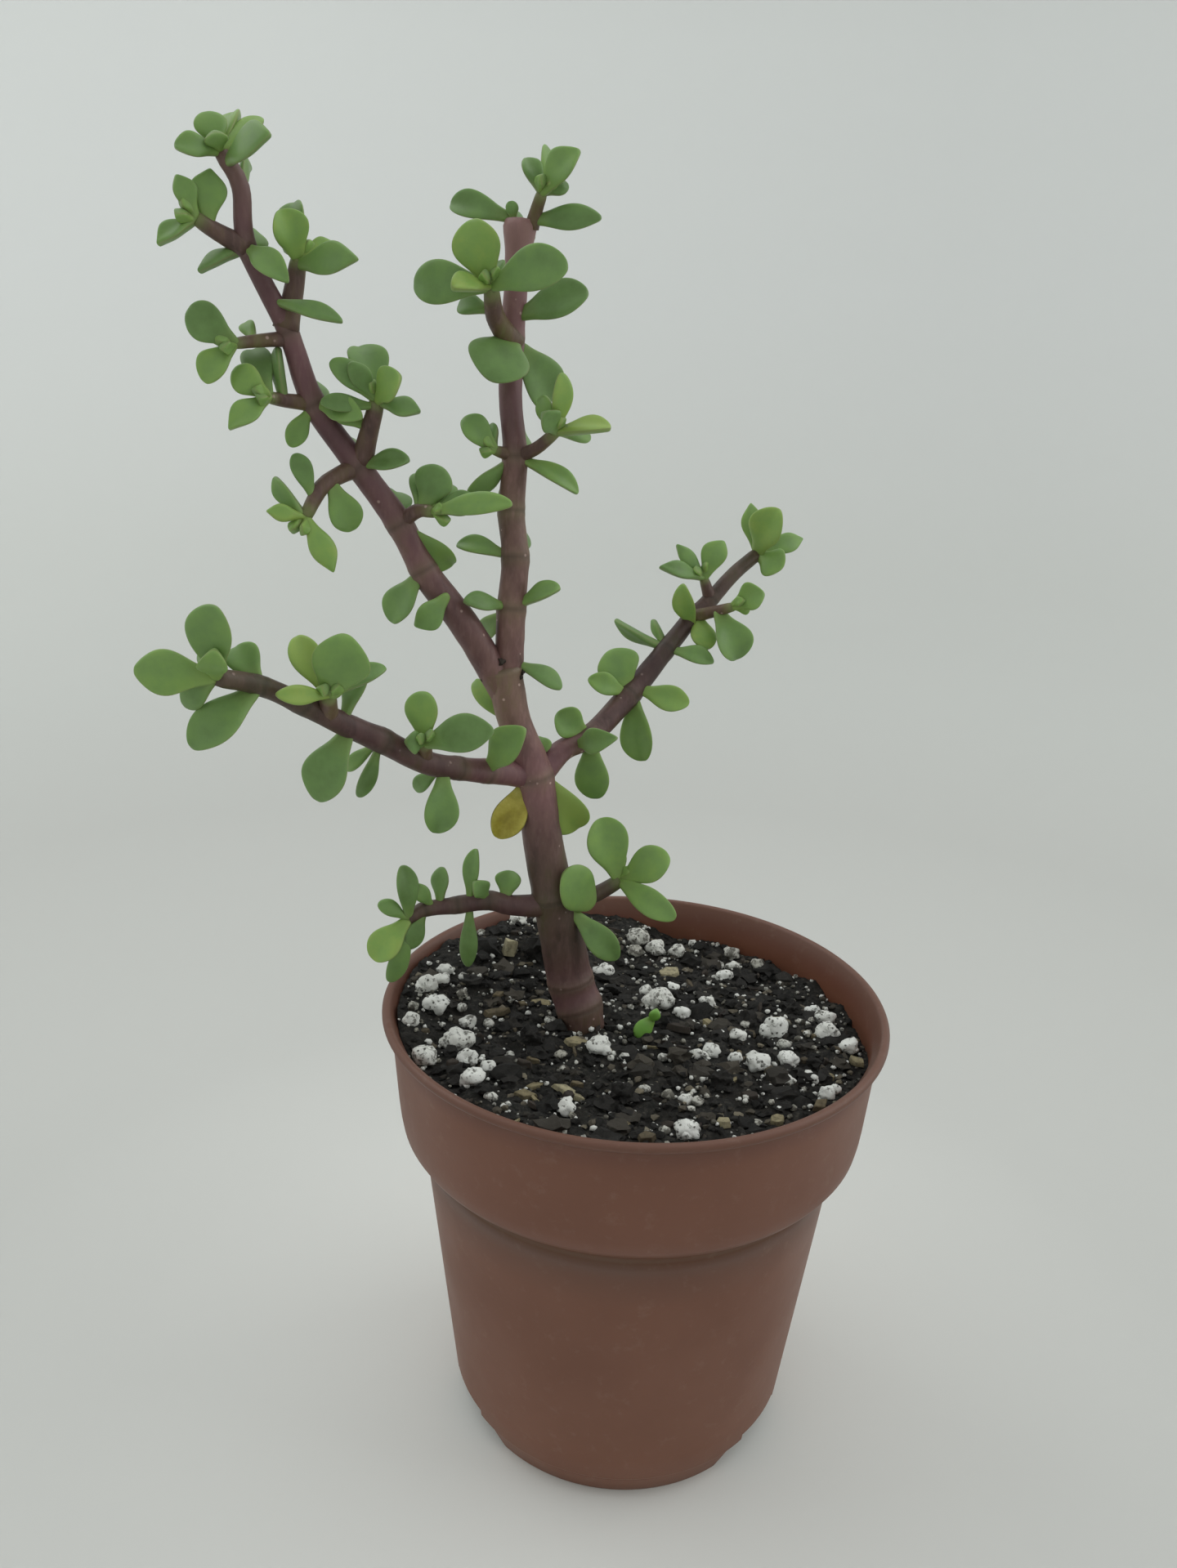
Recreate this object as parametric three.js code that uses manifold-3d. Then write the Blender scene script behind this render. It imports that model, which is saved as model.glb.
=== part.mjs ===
// A dwarf jade cutting in a round plastic nursery pot, in millimetres with +Z up.
// While the pieces are made, the pot's axis is the Z axis and its feet stand on z = 0.
// The finished group is moved so that the origin is the middle of its bounding box's foot.
// Each leafy stem is one solid: its leaves are fused to it. Pieces that meet keep a small gap.

import * as THREE from 'three';
import { mergeVertices } from 'three/addons/utils/BufferGeometryUtils.js';
import Module from 'manifold-3d';

const wasm = await Module();
wasm.setup();

// ---------- driving dimensions ----------

const gap = 0.3; // between pieces that touch in the real plant
const stemSides = 7;

const pot = {
  sides: 48,
  wall: 1.2,
  floorHeight: 4.5, // underside of the floor, which the feet hold off the table
  floorThickness: 1.2,
  // [radius, height] up the outside: straight body, shoulder, upright collar
  outline: [
    [34.8, 4.5], [35.6, 5.6], [42.1, 62.3], [42.7, 63.9], [45.6, 66.6],
    [46.6, 68.6], [47.1, 72.5], [48.4, 90],
  ],
  lip: [[49.6, 90.3], [50, 91], [49.8, 91.8], [49.2, 92.1], [48.6, 91.7]],
  footInner: 28,
  footOuter: 33.4, // where the foot meets the table, its wall leans out to the body above
  feet: 3,
  firstGap: -34, // degrees, the drainage gap nearest the front, clockwise from +X
  gapTop: 20, // gap between two feet at the floor and at the table
  gapFoot: 24,
  slotWidth: 14, // drain slot in the corner of wall and floor, one in each gap
  slotTop: 7,
  slotDepth: 5,
};

const soil = {
  level: 84.5,
  slopeX: -0.025, // a little lower at the right and at the back
  slopeY: -0.02,
  ripple: 0.7,
  bank: 5.2, // how much higher it lies at the back left
  bankStart: 14, // how far out the bank starts, and where it is full
  bankFull: 42,
  rings: [44, 37, 29, 20, 10],
};

// Perlite grains lying on the soil: [x, y, size].
const perlite = [
  [-7, -11.5, 4.7], [-34.5, -13, 5.3], [-31.5, -18, 4], [-30, -25.5, 4.2], [-39.5, -19, 4.6],
  [-42.5, 2.5, 4.1], [-39.5, -3, 4.6], [-6, 21.5, 4.3], [2, 39, 5], [6, 34.5, 4.2], [11, 33, 3.8],
  [20.5, 22.5, 3.6], [5.5, 9.5, 5.8], [16, 11.5, 3.5], [29, 1.5, 5.7], [38, 11, 3.5],
  [40, 6.5, 4.1], [39, 0, 4.6], [41.5, -5.5, 3.6], [14, -10, 4], [23.5, -13, 4.7], [30, -11, 4],
  [8.5, -37, 4.4], [-13, -31.5, 3.6],
];

// Flat chips of bark and stone: [x, y, length, width, turn].
const chips = [
  [8.5, 24.5, 6, 4, 10], [-11.5, -8, 6.4, 3.6, 0], [-19.5, 6, 6.2, 4.4, 10],
  [-27.5, 0, 6.6, 2.6, 20], [-20.5, -27, 6, 3, 20], [-12, -26.5, 7, 3.4, 150],
  [15, -33, 4, 3.6, 100], [25, -31, 3.4, 2.8, 0], [9.5, 0.5, 5.6, 4, 150],
  [43, -9.5, 3.6, 2.4, 160], [-22, 24, 7, 6, 70],
];

// Blade of a leaf, as [share of its width, share of its length] from root to tip.
const blade = {
  outline: [[0.62, 0.24], [1, 0.58], [0.72, 0.88]],
  thickness: 2,
  fold: 0.25, // the two halves rise from the midrib
  arch: 0.07, // the middle stands out from the line between root and tip
  sunk: 0.15, // share of the stem's radius that the root goes in
  stalk: 1.6, // length of the root inside the stem, at most
  stalkWidth: 0.28, // share of the blade's width
};

const colours = {
  pot: 0x7a4f3f,
  soil: 0x2b2a28,
  bark: 0x5e4448,
  leaf: 0x5f8a40,
  youngLeaf: 0x7f9f46,
  yellowLeaf: 0x8a7a2a,
};

// ---------- the plant ----------
// A stem's path lists points up its middle, and its radii are at the two ends.
// rings are the path points where a joint of the stem swells.
// A leaf is [place on the path, angle, toward, length, width, turn]. The angle is seen from
// the front: 0 points right, 90 up and 180 left. Toward is how far it leans to the front.
// With turn 0 the blade's upper face looks to the front, and turn rolls it about its length.
// A seventh value moves the root off the stem's middle.

const stems = {
  trunk: {
    colour: colours.bark,
    path: [
      [-8, 0, 60], [-10, 0.5, 84], [-13, 2, 94], [-16.5, 2, 110.5], [-19.5, 2, 125.5],
      [-21, 2, 137], [-25, 2, 147.5], [-27.3, 2, 158],
    ],
    radii: [5, 3.1],
    rings: [1, 3, 5, 7],
    leaves: [
      [5.2, 304, -15, 14.5, 9.5, 0],
      [5.1, 76, -35, 4, 4.5, 0],
      [5.9, 138, -25, 10, 4.2, 0],
      [3, 316, 8, 12.5, 6.4, 10, [1.5, -1, 1.2]],
    ],
  },
  leader: {
    colour: colours.bark,
    from: ['trunk'],
    path: [
      [-26.5, 2, 157], [-26, 3, 169], [-25.5, 4, 178], [-26.5, 6, 186], [-26, 7, 195.5],
      [-27, 8, 205], [-27, 10, 215], [-26.5, 11, 224.5], [-26, 12, 234.5],
    ],
    radii: [2.7, 2.4],
    rings: [1, 2, 3, 4, 6, 8],
    leaves: [
      [0.25, 334, 7.5, 9, 4.5, 45],
      [1, 165, 40, 8.5, 4.5, -50],
      [1, 26, 12.5, 8, 4.5, 50],
      [1, 230, -50, 12, 4.5, -22],
      [2, 172, -7.5, 9, 4.5, -40],
      [4, 332, 7.5, 11.5, 4.5, 40],
      [4, 218, 7.5, 9, 4.5, 35],
      [6, 302, -25, 12, 9.5, 30],
      [6.4, 18, 15, 12.5, 7.5, 22],
      [8, 169, -12.5, 10.5, 5.5, -20],
      [8, 2, 12.5, 12, 5, 15],
      [6.1, 250, 52, 12, 12, 0],
      [8, 95, 0, 3.4, 2.6, 0],
      [1, 90, -65, 8, 5, 60],
      [2, 85, -70, 9, 5.5, -60],
      [3, 95, -62, 8.5, 5, 55],
      [4, 85, -72, 10, 6, -60],
      [6, 95, -70, 11, 7, 60],
      [7.6, 90, -65, 9, 6, -55],
    ],
  },
  leader_right_shoot: {
    from: ['leader'],
    path: [[-26, 7, 195.5], [-22.3, 5, 197], [-18.7, 3, 200]],
    radii: [1.2, 1],
    leaves: [
      [2, 113, -15, 6, 4.5, 40],
      [2, 85, 15, 9.5, 4.5, -30],
      [2, 6, 7.5, 9, 5, 60],
      [2, 350, -50, 8.5, 3, 20],
      [2, 123, 50, 5, 5, -22],
    ],
  },
  leader_left_shoot: {
    from: ['leader'],
    path: [[-26, 7, 195.5], [-29.5, 4, 196.6]],
    radii: [1.1, 0.9],
    leaves: [
      [1, 138, 7.5, 7, 6, -30],
      [1, 95, -32.5, 4.5, 2.5, 30],
    ],
  },
  leader_front_shoot: {
    from: ['leader'],
    path: [[-27, 9.5, 214.5], [-29.5, 5, 218.5], [-30, 1, 223]],
    radii: [2, 1.3],
    leaves: [
      [1.2, 174, -32.5, 6.5, 4.5, -22],
      [2, 179, -15, 13, 8, -12],
      [2, 106, 7.5, 9.5, 9, 12],
      [2, 189, 47.5, 7.5, 5, -40],
      [2, 14, 20, 13.5, 8, 15],
      [2, 75, -50, 5.5, 3.5, 22],
    ],
  },
  leader_top_shoot: {
    from: ['leader'],
    path: [[-24, 11.5, 233.5], [-23.1, 10.5, 236.3], [-22.2, 9, 238.5]],
    radii: [1.1, 1],
    leaves: [
      [2, 45, 15, 8.5, 6.5, 25],
      [2, 121, -12.5, 5.5, 4.5, -30],
      [2, 18, -15, 4, 3, 20],
      [2, 86, -50, 11.5, 4.5, -22],
    ],
  },
  upper_left_stem: {
    colour: colours.bark,
    from: ['trunk', 'leader'],
    path: [
      [-27.5, 1, 156.5], [-33.5, 0, 165], [-39, -1, 172.5], [-41.5, -1, 176], [-45.5, -2, 184],
      [-52, -4, 193.5], [-58.7, -6, 203.5], [-62, -8, 214.5], [-67.3, -10, 226.5],
      [-67.6, -11, 235], [-70, -12, 239.5],
    ],
    radii: [3, 1.2],
    rings: [3, 4, 5, 6, 7, 8],
    leaves: [
      [3, 241, 12.5, 9, 7.5, -30],
      [1.75, 224, 18, 7, 6, 20, [1.6, -1.6, 1.6]],
      [4, 322, -20, 10.5, 7.5, -15],
      [5, 9, 15, 8, 4.5, 30],
      [6, 241, 15, 6.5, 4, 15],
      [6, 348, 25, 8.5, 5, 20],
      [7.35, 347, 25, 12.5, 3.5, 35],
      [8, 326, 32.5, 10, 5, 20],
      [8, 207, 7.5, 7.5, 3.7, -45],
      [9.7, 17, 40, 11, 7.2, 30],
      [10, 180, 32.5, 6, 4.5, -22],
      [10, 113, -7.5, 5, 5.5, -22],
      [10, 82, -47.5, 9, 5, 30],
      [10, 50, -40, 9, 3.5, 22],
      [10, 90, 50, 2.5, 4, -22],
      [3, 120, -70, 8.5, 5.5, 55],
      [4, 120, -60, 8, 5, -60],
      [5, 120, -70, 9, 5.5, 60],
      [6, 118, -70, 8, 5, -60],
      [7, 110, -65, 8, 5, 55],
      [8, 105, -70, 7.5, 4.5, -60],
      [9, 95, -60, 6.5, 4.5, 50],
    ],
  },
  upper_left_shoot_1: {
    from: ['upper_left_stem'],
    path: [[-45.5, -2, 184], [-41.8, -4, 186.5], [-39, -6, 186.5]],
    radii: [1.3, 1.1],
    leaves: [
      [1, 96, -40, 6.5, 4.5, -30],
      [1.3, 69, -7.5, 7, 8, 22],
      [2, 14, -7.5, 7, 5, 20],
      [2, 10, 30, 16, 4.5, 30],
      [2, 60, -55, 7, 5.5, 40],
    ],
  },
  upper_left_shoot_2: {
    from: ['upper_left_stem'],
    path: [[-52, -4, 193.5], [-56.5, -8, 191], [-58.2, -10, 188.5], [-59.4, -12, 185.5]],
    radii: [1.5, 1.1],
    leaves: [
      [0.9, 292, -7.5, 8, 6.5, 22],
      [2.1, 114, -7.5, 7, 4, -22],
      [3, 130, -12.5, 7.5, 3.5, 20],
      [3, 169, 25, 5.5, 3.5, -20],
      [3, 300, 15, 9.5, 5, 22],
    ],
  },
  upper_left_shoot_3: {
    from: ['upper_left_stem'],
    path: [[-51.3, -4, 194.5], [-49.7, -6, 199], [-48.6, -7, 202], [-48, -7.5, 204.2]],
    radii: [1.9, 1.3],
    leaves: [
      [2.6, 177, 25, 8, 3.5, -20],
      [1.2, 153, -7.5, 5.5, 4.5, -22],
      [3, 350, 7.5, 6.5, 4.6, 35],
      [3, 116, -32.5, 10, 7.5, -30],
      [3, 139, 12.5, 8.5, 4.5, -22],
      [3, 122, 25, 6.5, 4, -22],
      [3, 43, 32.5, 6.5, 6.5, 30],
    ],
  },
  upper_left_shoot_4: {
    from: ['upper_left_stem'],
    path: [[-58.7, -6, 203.5], [-63, -9, 203.9], [-64.5, -12, 204.3]],
    radii: [1.3, 1.1],
    leaves: [
      [1, 95, -7.5, 7.5, 4.5, 55],
      [2, 143, 7.5, 6, 5.5, -22],
      [2, 121, -40, 10, 5.5, -30],
      [2, 223, 32.5, 8, 5, -15],
    ],
  },
  upper_left_shoot_5: {
    from: ['upper_left_stem', 'upper_left_shoot_4'],
    path: [[-62.3, -8, 213.4], [-66.6, -11, 212.8], [-69, -14, 212.2]],
    radii: [1.4, 1.1],
    leaves: [
      [2, 143, 15, 7.5, 6.5, -12],
      [2, 233, 15, 7, 5.5, -12],
      [1, 132, -50, 4.5, 3, -12],
    ],
  },
  upper_left_shoot_6: {
    from: ['upper_left_stem'],
    path: [[-62.3, -8, 214.8], [-61.4, -7.5, 218.7], [-60.5, -7.5, 222.6], [-60, -7.5, 225.3]],
    radii: [1.8, 1.3],
    leaves: [
      [3, 96, -25, 8.5, 6, 22],
      [3, 106, 20, 6.5, 6.8, -30],
      [3, 27, -25, 5.5, 4, 22],
      [2.7, 3, 32.5, 12, 6.2, 20],
      [3, 100, -60, 7, 5.5, 40],
    ],
  },
  upper_left_shoot_7: {
    from: ['upper_left_stem'],
    path: [[-67.3, -10, 226.5], [-71.4, -12, 228.5], [-73.8, -14, 230]],
    radii: [1.5, 1.1],
    leaves: [
      [2, 111, 12.5, 5.4, 4.2, -30],
      [1.4, 86, -7.5, 7.2, 6.2, -22],
      [2, 216, 15, 6.2, 4, -30],
    ],
  },
  left_stem: {
    colour: colours.bark,
    from: ['trunk'],
    path: [
      [-22, 1, 137], [-29.7, -5, 140], [-34.5, -10, 142], [-39.5, -15, 144.5], [-46, -21, 150],
      [-50, -26, 153.5], [-56, -33, 159], [-61, -38, 163], [-65.5, -44, 165.5],
    ],
    radii: [2.4, 1.4],
    rings: [1, 2, 4, 6, 7],
    leaves: [
      [1, 54, 25, 12, 7.5, 30],
      [2.45, 264, 12.5, 10.5, 7, 22],
      [2.45, 226, -25, 7, 3.5, -20],
      [4, 248, -7.5, 10, 3.5, 25],
      [4, 225, -25, 9, 3, -20],
      [5, 246, 7.5, 12, 9, -22],
      [5.2, 69, -15, 8.5, 5, 30],
      [7, 131, -25, 6, 6, -22],
      [7, 223, 25, 12.5, 7.5, -22],
      [8, 86, 12.5, 10.5, 8, 12],
      [8, 175, 7.5, 10.5, 7.5, -12],
      [8, 220, -25, 8, 4.5, -12],
      [8, 77, 38, 5.5, 4.8, -12],
      [8, 120, -55, 8, 6, 30],
    ],
  },
  left_shoot_1: {
    from: ['left_stem'],
    path: [[-39.5, -15, 145], [-39, -18.5, 149]],
    radii: [1.3, 1.1],
    leaves: [
      [1, 92, -7.5, 8, 7, 22],
      [1, 17, 15, 12.5, 7.5, 22],
      [1, 156, 47.5, 3.5, 4.5, -30],
    ],
  },
  left_shoot_2: {
    from: ['left_stem'],
    path: [[-53, -29.5, 156.5], [-51.8, -33, 160.5]],
    radii: [1.6, 1.2],
    leaves: [
      [1, 72, 7.5, 10, 10, -12],
      [1, 122, -15, 9.5, 5.5, -12],
      [1, 166, 45, 8.5, 3.5, -20],
      [1, 24, -25, 9, 4, 40],
    ],
  },
  right_stem: {
    colour: colours.bark,
    from: ['trunk'],
    path: [
      [-20.5, 3, 137], [-16, 7, 141], [-11, 10, 143], [-3.3, 18, 149.7], [4, 24, 158],
      [9, 29, 163.5], [13, 32, 167], [18, 36, 172], [23, 40, 175.7],
    ],
    radii: [2.4, 1.3],
    rings: [2, 3, 4, 5, 6],
    leaves: [
      [2, 145, 7.5, 6.5, 7, -22],
      [1.55, 29, 47.5, 11.5, 5.5, 30],
      [2.05, 277, 7.5, 11, 8, -22],
      [3, 116, -7.5, 8, 10, -22],
      [3, 156, 20, 8, 5, -25],
      [3.15, 349, 15, 9.5, 6, 22],
      [3.1, 281, 7.5, 12.6, 8, -22],
      [4, 153, -7.5, 10.5, 4, 50],
      [4, 118, -32.5, 5.5, 2.5, 50],
      [4, 347, 7.5, 8.5, 4.5, 35],
      [5.2, 108, 22, 10, 5.2, 20, [0, -0.5, -3]],
      [5.3, 288, 40, 7.5, 6, 22],
      [8, 100, -12.5, 9.5, 5.5, 20],
      [8, 72, 25, 10.5, 8.5, 30],
      [8, 16, -25, 10.5, 5, 20],
      [8, 337, 32.5, 5.5, 7.5, 22],
      [8, 60, -55, 8, 6, 30],
    ],
  },
  right_shoot_1: {
    from: ['right_stem'],
    path: [[9.5, 29, 164], [14, 26.5, 165.7], [17, 24.5, 167]],
    radii: [1.2, 1],
    leaves: [
      [1, 294, 7.5, 10, 9, 30],
      [2, 29, 15, 6, 6.5, 22],
    ],
  },
  right_shoot_2: {
    from: ['right_stem'],
    path: [[13, 32, 167], [11.3, 31, 171.5]],
    radii: [1.2, 1],
    leaves: [
      [1, 165, 20, 9.5, 4.4, -45],
      [1, 132, -7.5, 8, 4, -30],
      [1, 63, -12.5, 7.8, 6.2, 22],
    ],
  },
  lower_left_stem: {
    colour: colours.bark,
    from: ['trunk'],
    path: [
      [-17, 1, 110.8], [-25, 0, 111], [-29.5, -1, 112.3], [-35.5, -2, 111.5], [-41.5, -4, 111.3],
      [-44.3, -6, 110],
    ],
    radii: [2.1, 1.2],
    rings: [2, 3, 4],
    leaves: [
      [1.3, 77, -32.5, 5, 6, 22],
      [2, 117, 25, 4.5, 4.5, -30],
      [2.6, 84, -7.5, 9.5, 4, 20],
      [2.6, 269, 7.5, 11.5, 4, 20],
      [3.5, 88, -15, 6.5, 4.5, 30],
      [3.7, 120, 15, 5.5, 3.5, -20],
      [4, 247, 25, 7, 4.5, 20],
      [5, 97, -7.5, 10, 5, -30],
      [5, 145, 12.5, 6, 3.5, -40],
      [5, 227, 25, 9, 7, -22],
      [5, 254, 7.5, 12.5, 4.5, 20],
    ],
  },
  lower_right_shoot: {
    from: ['trunk'],
    path: [[-16.5, 2, 110.3], [-9, 4.5, 111.8], [-3.9, 5.6, 114.6]],
    radii: [1.8, 1.4],
    leaves: [
      [2, 110, -12.5, 12, 9.4, -22],
      [2, 88, -32.5, 5, 4, 22],
      [2, 35, 7.5, 10.2, 8, 30, [0.4, 0, 0]],
      [2, 341, 38, 13.6, 5.8, 20],
      [0.7, 122, 22, 10.2, 9.6, -35, [2, -1.8, -0.9]],
    ],
  },
  seedling: {
    colour: colours.youngLeaf,
    path: [[3.5, 0, 82.5], [3.5, -0.5, 87]],
    radii: [0.5, 0.5],
    leaves: [
      [1, 185, 35, 4.6, 4, 0],
      [1, 60, 10, 4, 3, 0],
    ],
  },
};

const yellowLeaf = { on: 'trunk', row: [5.12, 243, 8, 12, 7.2, 0] };

// ---------- making solids ----------

function solidOf(geometry) {
  geometry.deleteAttribute('normal');
  geometry.deleteAttribute('uv');
  const merged = mergeVertices(geometry, 1e-4);
  const mesh = new wasm.Mesh({
    numProp: 3,
    vertProperties: Float32Array.from(merged.attributes.position.array),
    triVerts: Uint32Array.from(merged.index.array),
  });
  return new wasm.Manifold(mesh);
}

function geometryOf(solid) {
  const { vertProperties, triVerts } = solid.getMesh();
  const geometry = new THREE.BufferGeometry();
  geometry.setAttribute('position', new THREE.BufferAttribute(vertProperties, 3));
  geometry.setIndex(new THREE.BufferAttribute(triVerts, 1));
  geometry.computeVertexNormals();
  return geometry;
}

function largestPiece(solid) {
  return solid.decompose().reduce((best, piece) => (piece.volume() > best.volume() ? piece : best));
}

function meshOf(name, solid, colour, roughness) {
  const material = new THREE.MeshStandardMaterial({ color: colour, roughness, metalness: 0 });
  const mesh = new THREE.Mesh(geometryOf(solid), material);
  mesh.name = name;
  return mesh;
}

// Moves each vertex of a geometry to the place that a function gives for it.
function reshape(geometry, placeOf) {
  const position = geometry.attributes.position;
  const vertex = new THREE.Vector3();
  for (let i = 0; i < position.count; i++) {
    const { x, y, z } = placeOf(vertex.fromBufferAttribute(position, i));
    position.setXYZ(i, x, y, z);
  }
  return geometry;
}

function latheAboutZ(profile, sides) {
  const points = profile.map(([radius, height]) => new THREE.Vector2(radius, height));
  return new THREE.LatheGeometry(points, sides).rotateX(Math.PI / 2);
}

// ---------- stems and leaves ----------

const front = new THREE.Vector3(0, -1, 0);

function curveOf(stem) {
  return new THREE.CatmullRomCurve3(stem.path.map((point) => new THREE.Vector3(...point)));
}

function radiusAt(stem, place) {
  return THREE.MathUtils.lerp(...stem.radii, place / (stem.path.length - 1));
}

// A lathe turned about Y, whose height is then laid along the stem's curve.
function stemSolid(stem, extra = 0) {
  const last = stem.path.length - 1;
  const rings = stem.rings ?? [];
  const profile = [[0, 0]];
  for (let i = 0; i <= last; i++) {
    const radius = radiusAt(stem, i) + extra;
    const joint = rings.includes(i);
    profile.push([joint ? radius * 1.1 : radius, i]);
    if (joint && i < last) profile.push([radius * 0.97, i + 0.3]);
  }
  profile.push([0, last]);
  const points = profile.map(([radius, height]) => new THREE.Vector2(radius, height));
  const curve = curveOf(stem);
  const bent = reshape(new THREE.LatheGeometry(points, stemSides), ({ x, y, z }) => {
    const along = curve.getTangent(y / last);
    const side = new THREE.Vector3().crossVectors(along, front).normalize();
    const other = new THREE.Vector3().crossVectors(side, along);
    const place = curve.getPoint(y / last).addScaledVector(side, x).addScaledVector(other, z);
    if (y === 0) place.addScaledVector(along, -extra);
    if (y === last) place.addScaledVector(along, extra);
    return place;
  });
  return solidOf(bent);
}

// A lathe with four sides is a lens across: two edges and a midrib above and below.
function leafSolid(stem, [place, angle, toward, length, width, turn, shift = [0, 0, 0]], extra = 0) {
  const radians = THREE.MathUtils.degToRad;
  const across = Math.cos(radians(toward));
  const along = new THREE.Vector3(
    Math.cos(radians(angle)) * across,
    -Math.sin(radians(toward)),
    Math.sin(radians(angle)) * across,
  );
  const face = front.clone().addScaledVector(along, -front.dot(along)).normalize();
  const sideways = new THREE.Vector3().crossVectors(face, along);
  const up = face.multiplyScalar(Math.cos(radians(turn))).addScaledVector(sideways, Math.sin(radians(turn)));
  const wide = new THREE.Vector3().crossVectors(along, up);

  const middle = curveOf(stem).getPoint(place / (stem.path.length - 1));
  const root = middle.addScaledVector(along, radiusAt(stem, place) * (1 - blade.sunk));
  root.add(new THREE.Vector3(...shift));
  const back = Math.min(blade.stalk / length, 0.3);
  const profile = [[0, -back], [blade.stalkWidth, -back], ...blade.outline, [0, 1]];
  const points = profile.map(([share, height]) => new THREE.Vector2(share, height));
  const bent = reshape(new THREE.LatheGeometry(points, 4), ({ x, y, z }) => {
    const outwards = extra / (Math.hypot(x, z) || 1);
    const rise = z * (blade.thickness / 2 + outwards) + Math.abs(x) * (width / 2) * blade.fold;
    return root.clone()
      .addScaledVector(along, y * (length + 2 * extra) - extra)
      .addScaledVector(wide, x * (width / 2 + outwards))
      .addScaledVector(up, rise + blade.arch * length * 4 * y * (1 - y));
  });
  return solidOf(bent);
}

function leafyStemSolid(stem) {
  let solid = stemSolid(stem);
  for (const row of stem.leaves) solid = solid.add(leafSolid(stem, row));
  for (const name of stem.from ?? []) {
    const parent = stems[name];
    solid = solid.subtract(stemSolid(parent, gap));
    for (const row of parent.leaves) solid = solid.subtract(leafSolid(parent, row, gap));
  }
  return largestPiece(solid);
}

// ---------- pot ----------

function innerWall() {
  return pot.outline.slice(1).map(([radius, height]) => [radius - pot.wall, height]);
}

function potSolid() {
  const floorTop = pot.floorHeight + pot.floorThickness;
  const inside = innerWall().reverse();
  inside[inside.length - 1][1] = floorTop;
  const shell = [[0, pot.floorHeight], ...pot.outline, ...pot.lip, ...inside, [0, floorTop]];
  let solid = solidOf(latheAboutZ(shell, pot.sides));

  const footTop = pot.floorHeight + pot.floorThickness / 2;
  const footRing = [
    [pot.footInner, 0], [pot.footOuter, 0], [34.6, pot.floorHeight - 0.1], [34.6, footTop],
    [pot.footInner, footTop], [pot.footInner, 0],
  ];
  let feet = solidOf(latheAboutZ(footRing, pot.sides));
  for (let i = 0; i < pot.feet; i++) {
    const turn = THREE.MathUtils.degToRad(pot.firstGap + (360 / pot.feet) * i);
    feet = feet.subtract(gapCutter().rotate([0, 0, THREE.MathUtils.radToDeg(turn)]));
  }
  solid = solid.add(feet);
  for (let i = 0; i < pot.feet; i++) {
    solid = solid.subtract(slotCutter().rotate([0, 0, pot.firstGap + (360 / pot.feet) * i]));
  }
  return solid;
}

// A bar along +X that is wider at the table than at the pot's floor.
function gapCutter() {
  const shape = new THREE.Shape([
    new THREE.Vector2(-pot.gapFoot / 2, -1),
    new THREE.Vector2(pot.gapFoot / 2, -1),
    new THREE.Vector2(pot.gapTop / 2, pot.floorHeight),
    new THREE.Vector2(-pot.gapTop / 2, pot.floorHeight),
  ]);
  const bar = new THREE.ExtrudeGeometry(shape, { depth: 30, bevelEnabled: false });
  return solidOf(bar.rotateX(Math.PI / 2).rotateZ(Math.PI / 2).translate(15, 0, 0));
}

function slotCutter() {
  const height = pot.slotTop - pot.floorHeight + 1;
  const box = new THREE.BoxGeometry(pot.slotDepth + 10, pot.slotWidth, height);
  return solidOf(box.translate(31 + (pot.slotDepth + 10) / 2, 0, pot.floorHeight - 1 + height / 2));
}

// ---------- soil ----------

function soilHeight(x, y) {
  const ripple = Math.sin(0.33 * x + 1) * Math.cos(0.29 * y) + 0.6 * Math.sin(0.21 * (x + y));
  const bank = soil.bank * THREE.MathUtils.smoothstep(0.6 * y - 0.8 * x, soil.bankStart, soil.bankFull);
  return soil.level + soil.slopeX * x + soil.slopeY * y + soil.ripple * ripple + bank;
}

function grain(x, y, size, squash, turn) {
  const stone = new THREE.IcosahedronGeometry(size / 2, 0).scale(1, 0.85, squash);
  return solidOf(stone.rotateX(turn).rotateZ(3 * turn).translate(x, y, soilHeight(x, y) + size * 0.12));
}

function chip([x, y, length, width, turn]) {
  const flake = new THREE.CylinderGeometry(0.5, 0.42, 1.4, 6).rotateX(Math.PI / 2 + 0.12);
  flake.scale(length, width, 1).rotateZ(THREE.MathUtils.degToRad(turn));
  return solidOf(flake.translate(x, y, soilHeight(x, y) + 0.4));
}

function soilSolid() {
  const wall = innerWall().map(([radius, height]) => [radius - gap, height]);
  const side = wall.filter(([, height]) => height < soil.level - 3);
  side[0][1] = pot.floorHeight + pot.floorThickness + gap;
  const edge = side[side.length - 1][0] + 0.3;
  const top = [edge, ...soil.rings, 0].map((radius) => [radius, soil.level]);
  const block = latheAboutZ([[0, side[0][1]], ...side, ...top], pot.sides);
  let solid = solidOf(reshape(block, (p) => {
    const surface = p.z > soil.level - 0.01;
    return { x: p.x, y: p.y, z: surface ? soilHeight(p.x, p.y) : p.z };
  }));
  for (const [x, y, size] of perlite) solid = solid.add(grain(x, y, size, 0.85, size));
  for (const row of chips) solid = solid.add(chip(row));
  solid = solid.subtract(stemSolid(stems.trunk, gap)).subtract(stemSolid(stems.seedling, gap));
  return largestPiece(solid);
}

// ---------- the assembly ----------

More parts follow.
